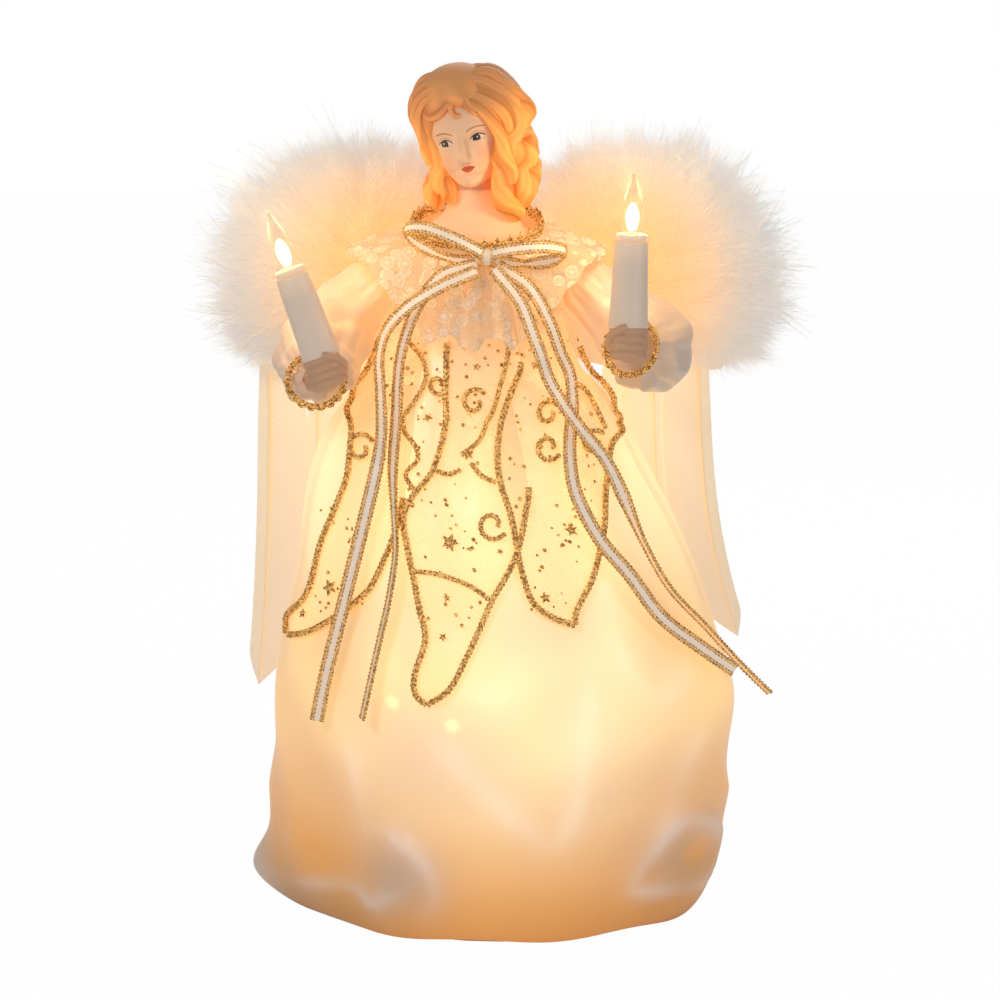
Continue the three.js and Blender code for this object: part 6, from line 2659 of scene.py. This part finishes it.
            bpy.data.meshes.remove(mesh)
        for mesh in kinds:
            bpy.data.meshes.remove(mesh)
        for vert in fluff.bm.verts:
            vert.co = self.in_front(vert.co)
        fluff.mark("warm", fluff.bm.verts, self.warmth)
        name = f"{self.side.word}_marabou_{word}"
        fluff.piece(name, self.colours.down, "marabou", [self.side.word + "_marabou"])

    def feather(self, word: str, u: float, length: float, half: float, bend: float, lift: float) -> None:
        """Makes one goose feather: a narrow vane outside its quill, a broad one inside and a bent tip.

        Args:
            word: Which one.
            u: Its place along the wing.
            length: Its length.
            half: Its half width.
            bend: How far its tip bends outwards.
            lift: How far it lies in front of the board.
        """
        shape = Shape("stem", "warm")

        def line(s: float) -> float:
            """Gives how far out the quill is at a share of the length."""
            return u + bend * s**2.5

        def vane(x: float, s: float) -> Vector:
            """Lays out the vane.

            Args:
                x: The share across.
                s: The share down.

            Returns:
                The place.
            """
            share = 2 * x - 1
            wide, start = (0.48, 0.90) if share > 0 else (1.50, 0.84)
            tip = 1 - (max(0.0, s - start) / (1 - start)) ** 1.4
            wide *= half * mix(0.85, 1.0, ease(s, 0, 0.25)) * tip * (1 + 0.005 * math.sin(90 * s + 4 * share))
            camber = 1.1 * (1 - share * share) - 0.6
            return self.on(line(s) + share * wide, -lift - camber * 0.7, self.feather_top - length * s)

        shape.close(shape.grid(vane, 24, 110, stem=lambda x, s: 0.55 * hill(x - 0.5, 0.07) * (1 - 0.6 * s)))
        shares = [i / 12 * 0.97 for i in range(13)]
        quill = Route([tuple(self.on(line(s), -lift - 0.6, self.feather_top - length * s)) for s in shares])
        thin = round_section(lambda s: mix(0.75, 0.15, s))
        shape.sweep(quill, thin, 60, 8, stem=lambda a, s: 1.0 - 0.5 * s)

        def warm(at: Vector) -> float:
            """Gives how much lamp light reaches the feather."""
            return hill(max(0.0, abs(at.x) - 45), 26) * (0.35 + 0.65 * ease(at.z, 80, 190))

        shape.mark("warm", shape.bm.verts, warm)
        node = f"{self.side.word}_feather_{word}"
        shape.piece(node + "_vane", self.colours.vane, "feather", [node])

    def make(self) -> None:
        """Makes the wing."""
        self.marabou()
        for feather in self.feathers:
            self.feather(*feather)


@dataclass
class LampString:
    """The CAD pieces that stay: the cone, the lamp string, the wires and the wing board."""

    colours: Palette

    # Words in the nodes' names, and their materials.
    STAYS = {
        "body_cone": "moulded_plastic",
        "shoulder_wire": "steel_wire",
        "arm_wire": "steel_wire",
        "light_string": "green_wire",
        "lamp_lead": "green_wire",
        "lampholder": "green_plastic",
        "skirt_bulb": "bulb_glass",
        "wing_board": "card",
    }

    def make(self) -> None:
        """Gives each of them its material."""
        for name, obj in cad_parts.items():
            for word, slot in self.STAYS.items():
                if word in name:
                    obj.data.materials.clear()
                    obj.data.materials.append(self.colours.carried[slot])
                    log.info("%s carries over as %s", name, slot)


@dataclass
class Studio:
    """The camera, the floor and the light.

    Attributes:
        eye: Where the camera stands, in metres.
        target: What it looks at.
        lens: Its focal length.
        middle: What the lights point at.
    """

    eye: Point = (0.0, -1.3864, 0.3408)
    target: Point = (0.0, 0.0, 0.146)
    lens: float = 142.8
    middle: Point = (0.0, 0.0, 0.16)

    @staticmethod
    def stand(
        name: str, data: bpy.types.ID, place: Sequence[float], aim: Point | None = None
    ) -> bpy.types.Object:
        """Puts a camera, light or floor in the scene.

        Args:
            name: Its name.
            data: What it is.
            place: Where it stands, in metres.
            aim: What it points at.

        Returns:
            The object.
        """
        obj = bpy.data.objects.new(name, data)
        obj.location = place
        if aim:
            obj.rotation_euler = (Vector(aim) - Vector(place)).to_track_quat("-Z", "Y").to_euler()
        bpy.context.scene.collection.objects.link(obj)
        return obj

    def camera(self) -> None:
        """Places the camera."""
        data = bpy.data.cameras.new("camera")
        data.lens = self.lens
        data.sensor_width = 36.0
        bpy.context.scene.camera = self.stand("camera", data, self.eye, self.target)

    def floor(self) -> None:
        """Lays a plain pale floor."""
        bm = bmesh.new()
        bmesh.ops.create_grid(bm, x_segments=2, y_segments=2, size=4.0)
        bmesh.ops.translate(bm, vec=(0, 0, -0.0004), verts=bm.verts)
        mesh = bpy.data.meshes.new("floor")
        bm.to_mesh(mesh)
        bm.free()
        graph = Graph("pale_floor")
        matt = graph.node("ShaderNodeBsdfDiffuse", {}, {"Color": (0.92, 0.92, 0.92, 1.0)})
        clear = graph.node("ShaderNodeEmission", {}, {"Color": (1.0, 1.0, 1.0, 1.0), "Strength": 1.01})
        seen = graph.node("ShaderNodeLightPath", {}, {}, "Is Camera Ray")
        both = graph.node("ShaderNodeMixShader", {}, {0: seen * 0.97, 1: matt, 2: clear})
        graph.node("ShaderNodeOutputMaterial", {}, {"Surface": both})
        mesh.materials.append(graph.material)
        self.stand("floor", mesh, (0, 0, 0))

    def light(self, name: str, place: Point, size: float, power: float, tint: Colour) -> None:
        """Adds one soft light.

        Args:
            name: Its name.
            place: Where it stands, in metres.
            size: Its width.
            power: Its power.
            tint: Its colour.
        """
        data = bpy.data.lights.new(name, "AREA")
        data.shape, data.size, data.energy, data.color = "DISK", size, power, tint
        self.stand(name, data, place, self.middle)

    def lamp(self, name: str, place: Vector, power: float) -> None:
        """Adds one warm candle lamp.

        Args:
            name: Its name.
            place: Where it is, in millimetres.
            power: Its power.
        """
        data = bpy.data.lights.new(name, "POINT")
        data.energy, data.color, data.shadow_soft_size = power, (1.0, 0.66, 0.30), 0.006
        self.stand(name, data, place * MM)

    def world(self) -> None:
        """Sets a white surround that shines softly."""
        world = bpy.data.worlds.new("studio")
        bpy.context.scene.world = world
        graph = Graph("studio", world)
        seen = graph.node("ShaderNodeLightPath", {}, {}, "Is Camera Ray")
        power = graph.node("ShaderNodeMix", {}, {0: seen, 2: 0.30, 3: 1.0})
        back = graph.node("ShaderNodeBackground", {}, {"Color": (1.0, 1.0, 1.0, 1.0), "Strength": power})
        graph.node("ShaderNodeOutputWorld", {}, {"Surface": back})
        bpy.context.scene.view_settings.view_transform = "Standard"

    def make(self) -> None:
        """Builds the studio."""
        self.camera()
        self.world()
        self.floor()
        self.light("key", (-0.7, -1.2, 0.95), 0.45, 4.6, (1.0, 0.98, 0.95))
        self.light("fill", (1.1, -1.0, 0.5), 0.8, 2.0, (1.0, 0.97, 0.93))
        self.light("back", (0.2, 1.0, 0.9), 1.0, 4.0, (1.0, 1.0, 1.0))


def main() -> None:
    """Builds the whole topper."""
    logging.basicConfig(level=logging.INFO, format="%(name)s: %(message)s")
    studio = Studio()
    studio.make()
    dress = Dress()
    colours = Palette()
    Bow(colours).tails()
    arms = (
        Arm(Side.LEFT, colours, (-41, 0, 226), (-67, 3, 200), (-63, -35, 192.5), (-61, -46, 203), -20.0),
        Arm(Side.RIGHT, colours, (25, 0, 226), (66, 0, 192), (45, -35, 203.5), (43.5, -46, 213), 2.0),
    )
    for arm in arms:
        arm.make()
        studio.lamp(arm.name("candle_light"), arm.shine() + Vector((0, -9, 0)), 0.07)
    lamps = [arm.shine() for arm in arms]
    Skirt(dress, colours).make()
    Overlay(dress, colours).make()
    LaceCollar(dress, colours).make()
    NeckBraid(dress, colours).make()
    Bow(colours).make()
    Head(colours).make()
    left = (("outer", 71, 122, 9.6, 5.2, 3.1), ("middle", 53, 80, 8.4, 2.8, 2.0),
            ("inner", 37, 30, 6.0, 0.5, 0.9))
    right = (("outer", 59, 104, 9.4, 15.7, 3.1), ("middle", 42, 74, 8.4, 5.2, 2.0),
             ("inner", 32, 32, 6.0, 1.1, 0.9))
    Wing(Side.LEFT, colours, lamps, left).make()
    Wing(Side.RIGHT, colours, lamps, right).make()
    LampString(colours).make()


if __name__ == "__main__":
    main()
